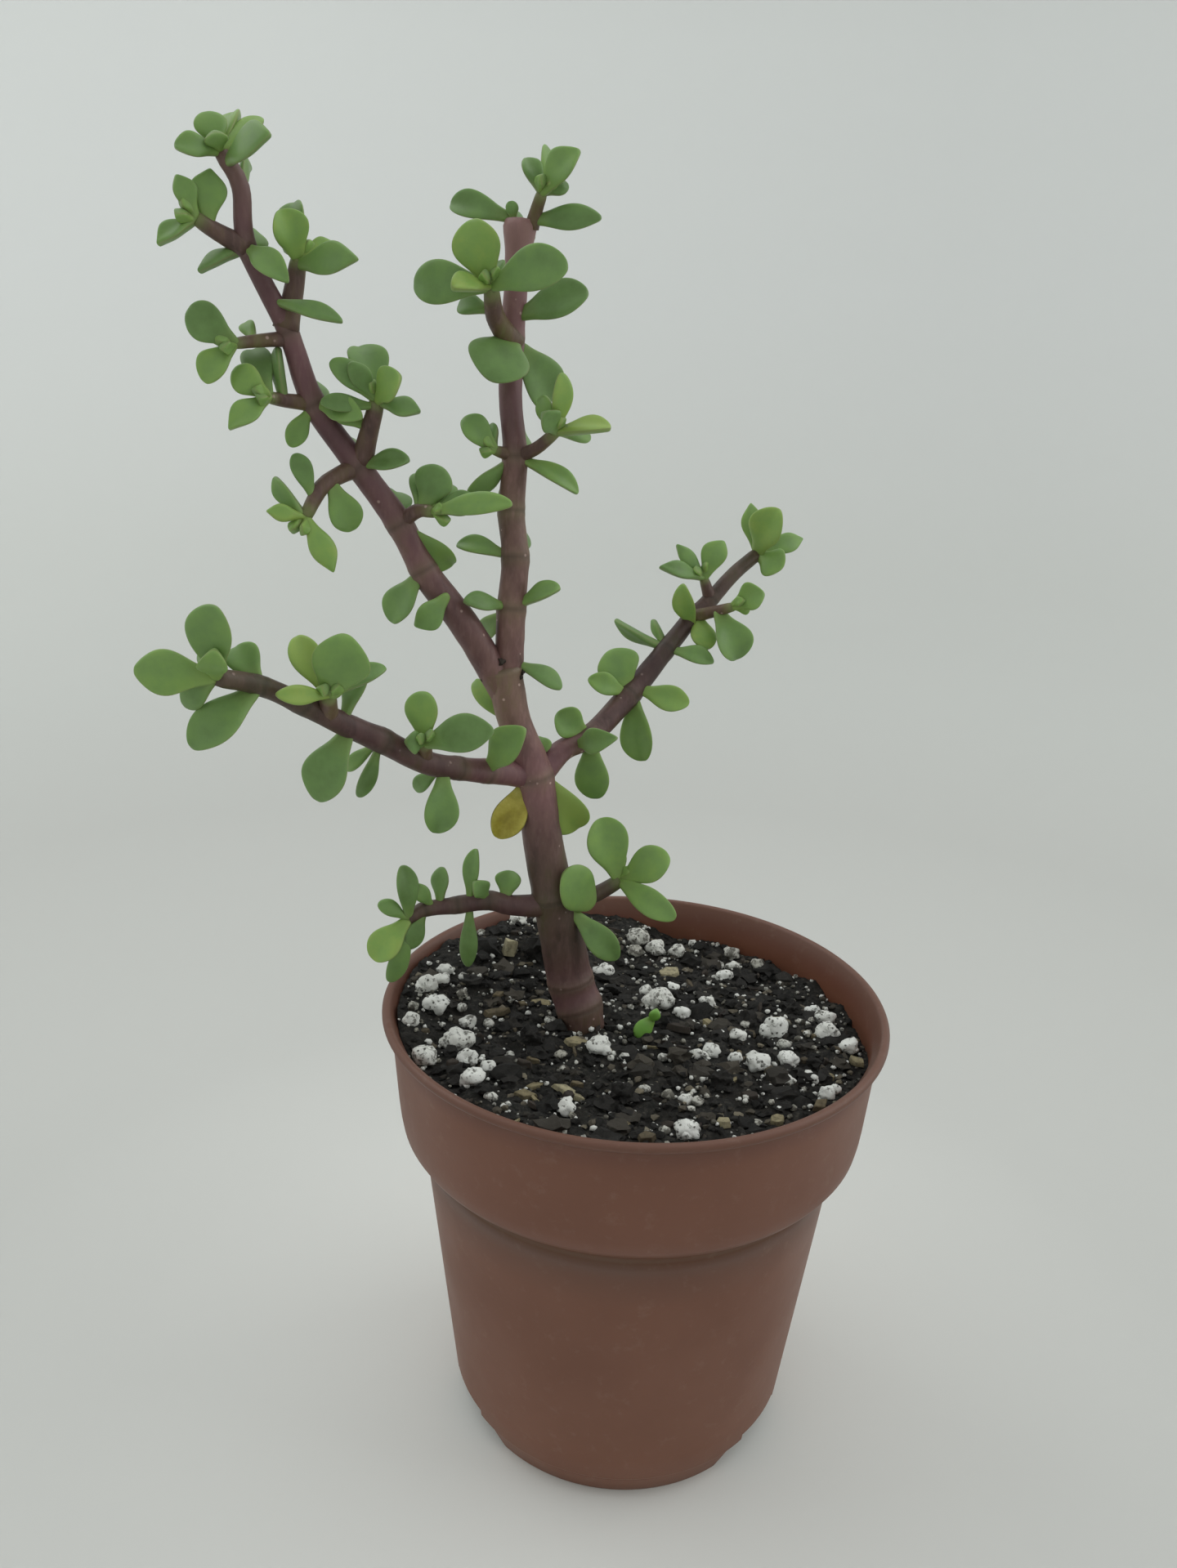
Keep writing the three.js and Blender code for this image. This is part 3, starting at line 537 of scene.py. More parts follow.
perlite = {
    # x, y, size in mm
    "grains": [
        (-7, -11.5, 4.7), (-34.5, -13, 5.3), (-31.5, -18, 4), (-28, -19, 3.2), (-30, -25.5, 4.2),
        (-39.5, -19.5, 4.6), (-42.5, 2.5, 4.1), (-39.5, 5.5, 3.2), (-39.5, -3, 4.6), (-44, -4, 2.3),
        (-43.5, -9.5, 3.2), (-39.5, 11, 3.2), (-35.5, 10, 2.1), (-32.5, 10.5, 1.6), (-21.3, 13, 1.6),
        (-33, -5, 3.3), (-29, -4.7, 2.3), (-16.8, -1.2, 2.3), (-35, 2.5, 2.4), (-34.5, -1.5, 2.3),
        (-25.3, 6, 1.7), (-25.5, 36, 3.6), (-34, 31, 2), (-32.5, 21, 1.9), (-24, -14, 1.9),
        (-14.3, -13.7, 2.2), (-13.7, -18.2, 1.5), (-2, -13, 2.2), (-6, 21.5, 4.3), (2, 39, 5), (1, 33, 3.4),
        (6, 34.5, 4.2), (10.8, 33.2, 3.8), (23.5, 35.7, 3.4), (23.7, 30.7, 3), (29, 30, 3),
        (20.5, 22.6, 3.6), (20.4, 31.3, 2.6), (15.2, 41.2, 2.5), (5.6, 9.4, 5.8), (3, 14.6, 2.8),
        (8.8, 16.8, 3.2), (10.5, 5.3, 3), (16, 11.6, 3.5), (23, 2.8, 2), (29, 1.3, 5.7), (17.4, 2.8, 1.7),
        (34.5, 4.6, 1.7), (35.6, 0, 1.7), (38.4, 11, 3.5), (40.2, 6.7, 4.1), (39.2, 0, 4.6),
        (42.5, -5.7, 3.6), (42.7, -1.3, 1.6), (21, -2.8, 3.3), (12.5, -10.7, 2.9), (15, -9.4, 3.5),
        (19.6, -10.5, 2.9), (23.5, -13, 4.7), (29.8, -10.8, 3.8), (30, -5, 2.6), (5.4, -13, 2.2),
        (28.5, -18.6, 2.8), (33, -17, 3.1), (35.2, -23.5, 3.3), (1.4, -25, 2.1), (5.6, -26, 2.4),
        (8.7, -27.3, 2.7), (10.7, -28.2, 2.4), (8.3, -37, 4.2), (4.5, -37.2, 2), (21, -32.3, 2.6),
        (-12.8, -31.6, 3.5), (-26.2, -30.7, 2.3),
    ],
    "large": 2.6,  # mm, and larger grains have a finer mesh
    "greyFrom": 25,  # large grains in front of this y are clean
    "lobedFrom": 2.4,  # mm, and larger grains may have a second lobe
    "shed": 0.8,  # crumbs round a grain for each mm of its size
    "grainForm": {"squash": 0.8, "rough": 0.42, "sink": 0.16, "wave": 2.3},
    "lobeForm": {"squash": 0.85, "rough": 0.4, "sink": 0.0, "wave": 2.3},
    "specks": 1150,
    "speckSizes": (0.4, 1.6),
    "speckForm": {"squash": 0.85, "rough": 0.5, "detail": 1, "sink": 0.1},
    "spread": 46,  # mm from the middle
    "seed": 11,
}

chips = {
    # x, y, length, width, turn, shade from dark to tan, and the height of a thick one
    "pieces": [
        (8.5, 24.4, 5.8, 4.4, 12, 0.95), (-11.7, -8.1, 6.4, 3.6, 0, 0.85), (-28, 5.2, 3.8, 2.1, 30, 0.6),
        (-27.7, 0, 6.7, 2.3, 20, 0.55), (-19.3, 6.2, 6.1, 4.1, 10, 0.8), (-18.6, -23.7, 3.8, 1.8, 15, 0.75),
        (-20.6, -27, 5.9, 2.4, 5, 0.7), (-12.2, -26.5, 7.1, 3, 150, 0.95), (15, -33.2, 3.5, 4, 100, 0.9),
        (24.9, -30.8, 3.2, 2.6, 0, 0.85), (15.2, 2.6, 3.4, 2.7, 0, 0.8), (9.5, 0.3, 5.6, 3.7, 155, 0.2),
        (43.3, -9.5, 3.5, 2.2, 160, 0.85), (-27, 22.5, 4.2, 3.4, 80, 1.0, 3.4),
        (33, -27, 4.2, 2.6, 40, 0.6), (-36, -30, 3.6, 2.4, 140, 0.55), (1, -40.5, 4.4, 2.4, 0, 0.5),
    ],
    # count, lengths, widths, shades, first seed
    "scattered": [
        (60, (1.6, 3.6), (1.0, 2.2), (0.1, 0.2, 0.3, 0.45, 0.6, 0.8), 100),
        (55, (2.5, 6), (0.35, 0.8), (0, 0, 0.1, 0.3, 0.5, 0.8), 300),  # torn fibres, long and narrow
    ],
    "spread": 44,
    "seed": 5,
}

crumbs = {
    # count, spread and sizes in mm, how light the lightest is, detail, share sunk in the soil
    "coarse": (230, 43.5, (2.4, 6), 0.7, 2, 0.3),
    "fine": (1800, 46.2, (0.6, 2.4), 0.95, 1, 0.2),
    "darkest": 0.02,
    "squash": (0.35, 0.75),
    "rough": 0.9,
    "boulders": [(-20, 22.5, 7), (-2.5, -27.5, 4.2), (16, -21, 3.8), (-20, -9.5, 4.4), (33.5, 9.5, 3.6)],
    "boulderForm": {"squash": 0.95, "rough": 0.75, "detail": 3, "shade": 0.3, "sink": 0.12},
    "seed": 3,
}


def addChip(bm, x, y, length, width, turn, shade, height=None, seed=0):
    layer = bm.verts.layers.float["shade"]
    draw = random.Random(seed)
    corners = draw.choice((4, 5, 5, 6))
    before = set(bm.verts)
    made = bmesh.ops.create_circle(bm, cap_ends=True, segments=corners, radius=0.5)["verts"]
    for v in made:
        stretch = draw.uniform(0.7, 1.2)
        v.co = Vector((v.co.x * length * stretch, v.co.y * width * stretch, 0))
    face = made[0].link_faces[0]
    raised = bmesh.ops.extrude_face_region(bm, geom=[face])["geom"]
    # the raised corners come in no fixed order, so they are sorted before each draws its height
    top = sorted((v for v in raised if isinstance(v, bmesh.types.BMVert)), key=lambda v: v.co[:])
    lift = height or min(width, draw.uniform(0.7, 1.6))
    for v in top:
        v.co = Vector((v.co.x * 0.86, v.co.y * 0.84, lift * draw.uniform(0.7, 1.2)))
    edges = list(dict.fromkeys(e for v in made + top for e in v.link_edges))
    bmesh.ops.bevel(bm, geom=edges, offset=0.1 * min(width, 1.5), offset_type="OFFSET", affect="EDGES",
                    segments=2, profile=0.5, material=-1)
    tilt = (Matrix.Rotation(radians(turn), 4, "Z") @ Matrix.Rotation(draw.uniform(-0.25, 0.25), 4, "X")
            @ Matrix.Rotation(draw.uniform(-0.2, 0.2), 4, "Y"))
    move = Matrix.Translation(spot(x, y, soilHeight(x, y) - 0.1)) @ Matrix.Scale(mm, 4) @ tilt
    for v in bm.verts:
        if v not in before:
            v[layer] = shade
            v.co = move @ v.co


def makePerlite():
    bm = startMesh("shade")
    draw = random.Random(perlite["seed"])
    for i, (x, y, size) in enumerate(perlite["grains"]):
        large = size > perlite["large"]
        clean = large and y < perlite["greyFrom"]
        grade = draw.uniform(0.0, 0.3) if clean else draw.uniform(0.3, 0.8)
        addLump(bm, x, y, size, detail=3 if large else 2, shade=grade, seed=3.1 * i, **perlite["grainForm"])
        # a grain may be two popped bubbles, and sheds crumbs round it
        lobes = draw.choice((0, 1, 1)) if size > perlite["lobedFrom"] else 0
        for k in range(lobes + int(size * perlite["shed"])):
            isLobe = k < lobes
            turn = draw.uniform(0, 2 * pi)
            reach = size * (draw.uniform(0.3, 0.42) if isLobe else draw.uniform(0.5, 0.85))
            part = size * draw.uniform(0.45, 0.65) if isLobe else draw.uniform(0.35, 0.9)
            addLump(bm, x + reach * cos(turn), y + reach * sin(turn), part, detail=2 if isLobe else 1,
                    shade=grade, seed=2.3 * i + k, **perlite["lobeForm"])
    for i in range(perlite["specks"]):
        x, y = scatter(draw, perlite["spread"])
        size = draw.uniform(*perlite["speckSizes"]) * draw.uniform(0.6, 1)
        addLump(bm, x, y, size, shade=draw.uniform(0.0, 1.0), seed=1.3 * i, **perlite["speckForm"])
    finishPiece("perliteGrains", bm, perliteMaterial(), ["soil"])


def makeChips():
    bm = startMesh("shade")
    draw = random.Random(chips["seed"])
    for i, row in enumerate(chips["pieces"]):
        addChip(bm, *row, seed=i)
    for count, lengths, widths, shades, firstSeed in chips["scattered"]:
        for i in range(count):
            x, y = scatter(draw, chips["spread"])
            row = (x, y, draw.uniform(*lengths), draw.uniform(*widths), draw.uniform(0, 180))
            addChip(bm, *row, draw.choice(shades), seed=firstSeed + i)
    finishPiece("barkChips", bm, barkMaterial(), ["soil"], smooth=False)


def makeCrumbs():
    bm = startMesh("shade")
    draw = random.Random(crumbs["seed"])
    number = 0
    for kind in ("coarse", "fine"):
        count, spread, sizes, lightest, detail, sink = crumbs[kind]
        for _ in range(count):
            x, y = scatter(draw, spread)
            size = draw.uniform(*sizes) * draw.uniform(0.6, 1)
            shade = crumbs["darkest"] + lightest * draw.random() ** 2
            squash = draw.uniform(*crumbs["squash"])
            addLump(bm, x, y, size, squash, crumbs["rough"], detail, shade, 0.7 * number, sink)
            number += 1
    for i, (x, y, size) in enumerate(crumbs["boulders"]):
        addLump(bm, x, y, size, seed=1.9 * i, **crumbs["boulderForm"])
    torn = finishPiece("peatCrumbs", bm, peatMaterial(), ["soil"])
    torn.data.set_sharp_from_angle(angle=radians(34))


makeSoilBed()
makePerlite()
makeChips()
makeCrumbs()
print("soil made")

# ---- stems and leaves ----

# A path lists points up the middle of a stem in mm, and a radius is (place on the path, mm).
# joints are the places where a pair of leaves grew and the stem swells, and shades are (place on the path,
# how light the bark is, how rosy: below 0 it turns olive). How light is partly the bark's own tone and partly
# painted light and shade, darker where leaves shade the stem. collar swells the root, if not as in stemForm.
# A leaf is (place on the path, angle, toward, length, width, turn) and what differs from its plainest form.
# Seen from the front, angle 0 points right and 90 up, and toward is how far it leans to the front.
# With turn 0 the upper face looks to the front. arch bends the blade back and fold lifts its halves, both in
# degrees. tone runs from dark to young green, point from round to pointed, oval widens the root half, and
# shift moves the root in mm.

stems = {
    "trunk": {
        "path": [(-8, 0, 60), (-10, 0.5, 84), (-13, 2, 94), (-16.5, 2, 110.5), (-19.5, 2, 125.5),
                 (-21, 2, 137), (-25, 2, 147.5), (-27.3, 2, 158)],
        "radii": [(0, 4.2), (1.1, 4.35), (1.3, 4.45), (1.6, 4.7), (2, 4.6), (3, 4.25), (4, 3.85), (5, 3.5),
                  (6, 3.15), (7, 3.4)],
        "joints": [1.35, 2, 3.12, 5, 7],
        "collar": 0,
        # from 2.5 to 3.2 the bark is darkened with painted shade from the low leaves
        "shades": [(1, 0.7, -0.2), (1.3, 0.8, 0.1), (1.5, 0.9, 0.5), (2, 1, 0.4), (2.5, 0.7, -0.3),
                   (3.2, 0.7, -0.5), (4, 0.9, 0), (4.6, 1.3, 0.5), (5, 1.5, 0.7), (5.6, 1.5, 0.3),
                   (6.4, 1.5, 0.2), (7, 1.35, 0.2)],
        "leaves": [
            # the first leaf's tone of 1.0 is partly painted light, lighter than its place in the shade would
            # show
            (5.2, 304, -15, 14.5, 9.5, 0, {"tone": 1.0, "fold": 30}), (5.1, 76, -35, 4, 4.5, 0),
            (5.9, 138, -25, 10, 4.2, 0, {"tone": 0.8, "point": 0, "oval": 0.6}),
            (3, 316, 8, 12.5, 6.4, 10, {"tone": 0.3, "shift": (1.5, -1, 1.2), "arch": 50, "point": 0.4}),
        ],
    },
    "leader": {
        "path": [(-26.4, 2.3, 156), (-26, 3, 169), (-25.5, 4, 178), (-26.5, 6, 186), (-26, 7, 195.5),
                 (-27, 8, 205), (-27, 10, 215), (-26.5, 11, 224.5), (-26, 12, 234.5)],
        "radii": [(0, 2.8), (2, 2.5), (3.4, 2.4), (4.6, 2.1), (7, 2.1), (7.5, 2.3), (7.85, 2.95), (8, 2.9)],
        "joints": [1, 2, 3, 4, 6],
        "collar": 0,
        "shades": [(0, 1.35, 0.1), (1, 1.35, -0.1), (2.2, 1.15, 0), (3, 1.4, -0.4), (3.6, 1.5, -0.1),
                   (4.2, 1, 0.3), (4.6, 0.75, 0.8), (5, 0.85, 1), (6.2, 1.35, 1), (8, 1.6, 1.2)],
        "leaves": [
            (0.25, 334, 7.5, 9, 4.5, 45, {"arch": 55}), (1, 165, 40, 8.5, 4.5, -50),
            (1, 26, 12.5, 8, 4.5, 50), (1, 230, -50, 12, 4.5, -22), (2, 172, -7.5, 9, 4.5, -40),
            (4, 332, 7.5, 11.5, 4.5, 40, {"arch": 55}), (4, 218, 7.5, 9, 4.5, 35),
            (6, 302, -25, 12, 9.5, 30, {"tone": 0.2, "arch": 60}), (6.4, 18, 15, 12.5, 7.5, 22),
            (8, 169, -12.5, 10.5, 5.5, -20, {"tone": 0.2}), (8, 2, 12.5, 12, 5, 15, {"tone": 0.2}),
            (6.1, 250, 52, 12, 12, 0, {"tone": 0.2}),
            (8, 100, 0, 2.5, 2.4, 0, {"tone": 0.3, "point": 0, "oval": 0.8, "shift": (-0.8, -0.4, -1.9)}),
            (1, 90, -65, 8, 5, 60), (2, 85, -70, 9, 5.5, -60), (3, 95, -62, 8.5, 5, 55),
            (4, 85, -72, 10, 6, -60), (6, 95, -70, 11, 7, 60), (7.6, 90, -65, 9, 6, -55),
        ],
    },
    "leader_right_shoot": {
        "path": [(-26, 7, 195.5), (-22.3, 5, 197), (-18.7, 3, 200)],
        "radii": [(0, 1.2), (2, 1)],
        "leaves": [
            (2, 113, -15, 6, 4.5, 40, {"tone": 0.6}), (2, 85, 15, 9.5, 4.5, -30, {"tone": 0.8}),
            (2, 6, 7.5, 9, 5, 60, {"tone": 0.9}), (2, 350, -50, 8.5, 3, 20), (2, 123, 50, 5, 5, -22),
        ],
    },
    "leader_left_shoot": {
        "path": [(-26, 7, 195.5), (-29.5, 4, 196.6)],
        "radii": [(0, 1.1), (1, 0.9)],
        "leaves": [
            (1, 138, 7.5, 7, 6, -30), (1, 95, -32.5, 4.5, 2.5, 30),
        ],
    },
    "leader_front_shoot": {
        "path": [(-27, 9.5, 214.5), (-29.5, 5, 218.5), (-30, 1, 223)],
        "radii": [(0, 2), (2, 1.3)],
        "leaves": [
            (1.2, 174, -32.5, 6.5, 4.5, -22, {"tone": 0.2}), (2, 179, -15, 13, 8, -12, {"tone": 0.3}),
            (2, 106, 7.5, 9.5, 9, 12, {"tone": 0.75}), (2, 189, 47.5, 7.5, 5, -40, {"tone": 0.85}),
            (2, 14, 20, 13.5, 8, 15), (2, 75, -50, 5.5, 3.5, 22),
        ],
    },
    "leader_top_shoot": {
        "path": [(-24, 11.5, 233.5), (-23.1, 10.5, 236.3), (-22.2, 9, 238.5)],
        "radii": [(0, 1.1), (2, 1)],
        "leaves": [
            (2, 45, 15, 8.5, 6.5, 25, {"point": 0.7}), (2, 121, -12.5, 5.5, 4.5, -30, {"point": 0.6}),
            (2, 18, -15, 4, 3, 20), (2, 86, -50, 11.5, 4.5, -22),
        ],
    },
    "upper_left_stem": {
        "path": [(-26.4, 2.4, 152.4), (-33.5, 0, 165), (-39, -1, 172.5), (-41.5, -1, 176), (-45.5, -2, 184),
                 (-52, -4, 193.5), (-58.7, -6, 203.5), (-62, -8, 214.5), (-67.3, -10, 226.5),
                 (-67.6, -11, 235), (-70, -12, 239.5)],
        "radii": [(0, 2.9), (3, 2.45), (4, 2.35), (5, 2.1), (6, 2), (7, 1.65), (8, 1.5), (9, 1.4),
                  (10, 1.2)],
        "joints": [3, 4, 5, 6, 7, 8],
        "collar": 0,
        "shades": [(0.2, 1.35, 0.2), (0.7, 1.1, 0.2), (2, 1, 0.3), (3, 1.2, 0.6), (4.5, 0.95, 0.7),
                   (5.2, 0.85, 0.9), (5.5, 0.65, 1), (6, 1, 0.8), (7, 1.05, 0.9), (7.5, 0.7, 0.9),
                   (8.5, 0.9, 0.9), (10, 1, 0.6)],
        "leaves": [
            (3, 241, 12.5, 9, 7.5, -30),
            (1.75, 224, 18, 7, 6, 20, {"fold": 40, "point": 0.8, "arch": 35, "shift": (1.6, -1.6, 1.6)}),
            (4, 322, -20, 10.5, 7.5, -15, {"tone": 0.55}), (5, 9, 15, 8, 4.5, 30), (6, 241, 15, 6.5, 4, 15),
            (6, 348, 25, 8.5, 5, 20), (7.35, 347, 25, 12.5, 3.5, 35),
            (8, 326, 32.5, 10, 5, 20, {"arch": 50}),
            (8, 207, 7.5, 7.5, 3.7, -45, {"point": 0.9, "arch": 50}),
            (9.7, 17, 40, 11, 7.2, 30, {"point": 0.8, "tone": 0.3}), (10, 180, 32.5, 6, 4.5, -22),
            (10, 113, -7.5, 5, 5.5, -22, {"tone": 0.5}), (10, 82, -47.5, 9, 5, 30, {"tone": 0.7}),
            (10, 50, -40, 9, 3.5, 22, {"tone": 0.7}), (10, 90, 50, 2.5, 4, -22, {"tone": 0.6}),
            (3, 120, -70, 8.5, 5.5, 55), (4, 120, -60, 8, 5, -60), (5, 120, -70, 9, 5.5, 60),
            (6, 118, -70, 8, 5, -60), (7, 110, -65, 8, 5, 55), (8, 105, -70, 7.5, 4.5, -60),
            (9, 95, -60, 6.5, 4.5, 50),
        ],
    },
    "upper_left_shoot_1": {
        "path": [(-45.5, -2, 184), (-41.8, -4, 186.5), (-39, -6, 186.5)],
        "radii": [(0, 1.3), (2, 1.1)],
        "leaves": [
            (1, 96, -40, 6.5, 4.5, -30), (1.3, 69, -7.5, 7, 8, 22, {"tone": 0.2}), (2, 14, -7.5, 7, 5, 20),
            (2, 10, 30, 16, 4.5, 30, {"tone": 0.6}), (2, 60, -55, 7, 5.5, 40),
        ],
    },
    "upper_left_shoot_2": {
        "path": [(-52, -4, 193.5), (-56.5, -8, 191), (-58.2, -10, 188.5), (-59.4, -12, 185.5)],
        "radii": [(0, 1.5), (3, 1.1)],
        "leaves": [
            (0.9, 292, -7.5, 8, 6.5, 22), (2.1, 114, -7.5, 7, 4, -22),
            (3, 130, -12.5, 7.5, 3.5, 20, {"point": 0.5}),
            (3, 169, 25, 5.5, 3.5, -20, {"tone": 0.85, "point": 0.9, "arch": 10}),
            (3, 300, 15, 9.5, 5, 22, {"tone": 0.75, "point": 0.9}),
        ],
    },
    "upper_left_shoot_3": {
        "path": [(-51.3, -4, 194.5), (-49.7, -6, 199), (-48.6, -7, 202), (-48, -7.5, 204.2)],
        "radii": [(0, 1.7), (3, 1.3)],
        "leaves": [
            (2.6, 177, 25, 8, 3.5, -20), (1.2, 153, -7.5, 5.5, 4.5, -22),
            (3, 350, 7.5, 6.5, 4.6, 35, {"point": 0.9}), (3, 116, -32.5, 10, 7.5, -30),
            (3, 139, 12.5, 8.5, 4.5, -22), (3, 122, 25, 6.5, 4, -22),
            (3, 43, 32.5, 6.5, 6.5, 30, {"tone": 0.75}),
        ],
    },
    "upper_left_shoot_4": {
        "path": [(-58.7, -6, 203.5), (-63, -9, 203.9), (-64.5, -12, 204.3)],
        "radii": [(0, 1.2), (2, 1)],
        "leaves": [
            (1, 95, -7.5, 7.5, 4.5, 55), (2, 143, 7.5, 6, 5.5, -22, {"tone": 0.7}),
            (2, 121, -40, 10, 5.5, -30), (2, 223, 32.5, 8, 5, -15, {"tone": 0.6, "point": 0.9}),
        ],
    },
    "upper_left_shoot_5": {
        "path": [(-62.3, -8, 213.4), (-66.6, -11, 212.8), (-69, -14, 212.2)],
        "radii": [(0, 1.1), (2, 0.9)],
        "leaves": [
            (2, 143, 15, 7.5, 6.5, -12), (2, 233, 15, 7, 5.5, -12, {"tone": 0.6}),
            (1, 132, -50, 4.5, 3, -12),
        ],
    },
    "upper_left_shoot_6": {
        "path": [(-62.3, -8, 214.8), (-61.4, -7.5, 218.7), (-60.5, -7.5, 222.6), (-60, -7.5, 225.3)],
        "radii": [(0, 1.8), (3, 1.3)],
        "leaves": [
            (3, 96, -25, 8.5, 6, 22), (3, 106, 20, 6.5, 6.8, -30, {"tone": 0.7, "point": 0, "oval": 0.4}),
            (3, 27, -25, 5.5, 4, 22, {"tone": 0.8, "point": 0.7}),
            (2.7, 3, 32.5, 12, 6.2, 20, {"point": 0.9, "tone": 0.4}), (3, 100, -60, 7, 5.5, 40),
        ],
    },
    "upper_left_shoot_7": {
        "path": [(-67.3, -10, 226.5), (-71.4, -12, 228.5), (-73.8, -14, 230)],
        "radii": [(0, 1.5), (2, 1.1)],
        "leaves": [
            (2, 111, 12.5, 5.4, 4.2, -30, {"point": 0.8, "tone": 0.5}),
            (1.4, 86, -7.5, 7.2, 6.2, -22, {"point": 1, "tone": 0.45}),
            (2, 216, 15, 6.2, 4, -30, {"point": 1.2}),
        ],
    },
    "left_stem": {
        "path": [(-21.6, 2.6, 136.9), (-29.7, -5, 140), (-34.5, -10, 142), (-39.5, -15, 144.5),
                 (-46, -21, 150), (-50, -26, 153.5), (-56, -33, 159), (-61, -38, 163), (-65.5, -44, 165.5)],
        "radii": [(0, 2.4), (2, 2.1), (4, 2.15), (5, 2), (6, 1.7), (8, 1.4)],
        "joints": [1, 2, 4, 6, 7],
        "collar": 0.05,
        "shades": [(0, 1.15, 0.75), (1.5, 1.05, 0.6), (2.3, 0.65, 0.2), (5, 0.65, 0.3), (6, 0.6, -0.4),
                   (8, 0.65, -0.3)],
        "leaves": [
            (1, 54, 25, 12, 7.5, 30, {"tone": 0.45}), (2.45, 264, 12.5, 10.5, 7, 22),
            (2.45, 226, -25, 7, 3.5, -20), (4, 248, -7.5, 10, 3.5, 25), (4, 225, -25, 9, 3, -20),
            (5, 246, 7.5, 12, 9, -22), (5.2, 69, -15, 8.5, 5, 30), (7, 131, -25, 6, 6, -22),
            (7, 223, 25, 12.5, 7.5, -22), (8, 86, 12.5, 10.5, 8, 12),
            (8, 175, 7.5, 10.5, 7.5, -12, {"tone": 0.6}), (8, 220, -25, 8, 4.5, -12),
            (8, 77, 38, 5.5, 4.8, -12, {"tone": 0.55}), (8, 120, -55, 8, 6, 30),
        ],
    },
    "left_shoot_1": {
        "path": [(-39.5, -15, 145), (-39, -18.5, 149)],
        "radii": [(0, 1.3), (1, 1.1)],
        "leaves": [
            (1, 92, -7.5, 8, 7, 22, {"tone": 0.7}), (1, 17, 15, 12.5, 7.5, 22),
            (1, 156, 47.5, 3.5, 4.5, -30),
        ],
    },
    "left_shoot_2": {
        "path": [(-53, -29.5, 156.5), (-51.8, -33, 160.5)],
        "radii": [(0, 1.6), (1, 1.2)],
        "leaves": [
            (1, 72, 7.5, 10, 10, -12, {"tone": 0.5}), (1, 122, -15, 9.5, 5.5, -12, {"tone": 1.0}),
            (1, 166, 45, 8.5, 3.5, -20, {"tone": 0.9}), (1, 24, -25, 9, 4, 40),
        ],
    },
    "right_stem": {
        "path": [(-20.5, 3, 137), (-16, 7, 141), (-11, 10, 143), (-3.3, 18, 149.7), (4, 24, 158),
                 (9, 29, 163.5), (13, 32, 167), (18, 36, 172), (23, 40, 175.7)],
        "radii": [(0, 2.4), (1.5, 2.1), (3, 2.3), (4, 1.9), (6, 1.6), (8, 1.4)],
        "joints": [2, 3, 4, 5, 6],
        "shades": [(0, 1.45, 0.75), (1, 1.15, 0.6), (1.5, 1, 0.2), (2.5, 0.7, 0.1), (3, 0.7, 0.3),
                   (3.5, 0.38, 0.2), (4.5, 0.4, 0), (6, 0.65, 0), (7, 0.6, -0.3), (8, 0.7, -0.3)],
        "leaves": [
            (2, 145, 7.5, 6.5, 7, -22), (1.55, 29, 47.5, 11.5, 5.5, 30, {"point": 0.5}),
            (2.05, 277, 7.5, 11, 8, -22), (3, 116, -7.5, 8, 10, -22), (3, 156, 20, 8, 5, -25),
            (3.15, 349, 15, 9.5, 6, 22, {"tone": 0.7}),
            (3.1, 281, 7.5, 12.6, 8, -22, {"tone": 0.5, "fold": 34}),
            (4, 153, -7.5, 10.5, 4, 50, {"point": 0.7}), (4, 118, -32.5, 5.5, 2.5, 50, {"point": 0.8}),
            (4, 347, 7.5, 8.5, 4.5, 35, {"point": 0.5}),
            (5.2, 108, 22, 10, 5.2, 20, {"tone": 0.8, "shift": (0, -0.5, -3)}),
            (5.3, 288, 40, 7.5, 6, 22, {"tone": 0.8}), (8, 100, -12.5, 9.5, 5.5, 20, {"point": 1}),
            (8, 72, 25, 10.5, 8.5, 30, {"tone": 0.8}), (8, 16, -25, 10.5, 5, 20, {"point": 1, "tone": 0.5}),
            (8, 337, 32.5, 5.5, 7.5, 22, {"tone": 0.6}), (8, 60, -55, 8, 6, 30),
        ],
    },
    "right_shoot_1": {
        "path": [(9.5, 29, 164), (14, 26.5, 165.7), (17, 24.5, 167)],
        "radii": [(0, 1.2), (2, 1)],
        "leaves": [
            (1, 294, 7.5, 10, 9, 30), (2, 29, 15, 6, 6.5, 22, {"tone": 0.6}),
        ],
    },
    "right_shoot_2": {
        "path": [(13, 32, 167), (11.3, 31, 171.5)],
        "radii": [(0, 1.2), (1, 1)],
        "leaves": [
            (1, 165, 20, 9.5, 4.4, -45, {"point": 1}), (1, 132, -7.5, 8, 4, -30, {"point": 1}),
            (1, 63, -12.5, 7.8, 6.2, 22, {"point": 0.8, "tone": 0.5}),
        ],
    },
    "lower_left_stem": {
        "path": [(-17, 1, 110.8), (-25, 0, 111), (-29.5, -1, 112.3), (-35.5, -2, 111.5), (-41.5, -4, 111.3),
                 (-44.3, -6, 110)],
        "radii": [(0, 2.3), (1, 2.05), (3, 1.7), (5, 1.2)],
        "joints": [2, 3, 4],
        "shades": [(0, 0.7, 0.3), (5, 0.6, 0)],
        "leaves": [
            (1.3, 77, -32.5, 5, 6, 22), (2, 117, 25, 4.5, 4.5, -30), (2.6, 84, -7.5, 9.5, 4, 20),
            (2.6, 269, 7.5, 11.5, 4, 20), (3.5, 88, -15, 6.5, 4.5, 30), (3.7, 120, 15, 5.5, 3.5, -20),
            (4, 247, 25, 7, 4.5, 20), (5, 97, -7.5, 10, 5, -30), (5, 145, 12.5, 6, 3.5, -40),
            (5, 227, 25, 9, 7, -22, {"tone": 0.8}), (5, 254, 7.5, 12.5, 4.5, 20),
        ],
    },
    "lower_right_shoot": {
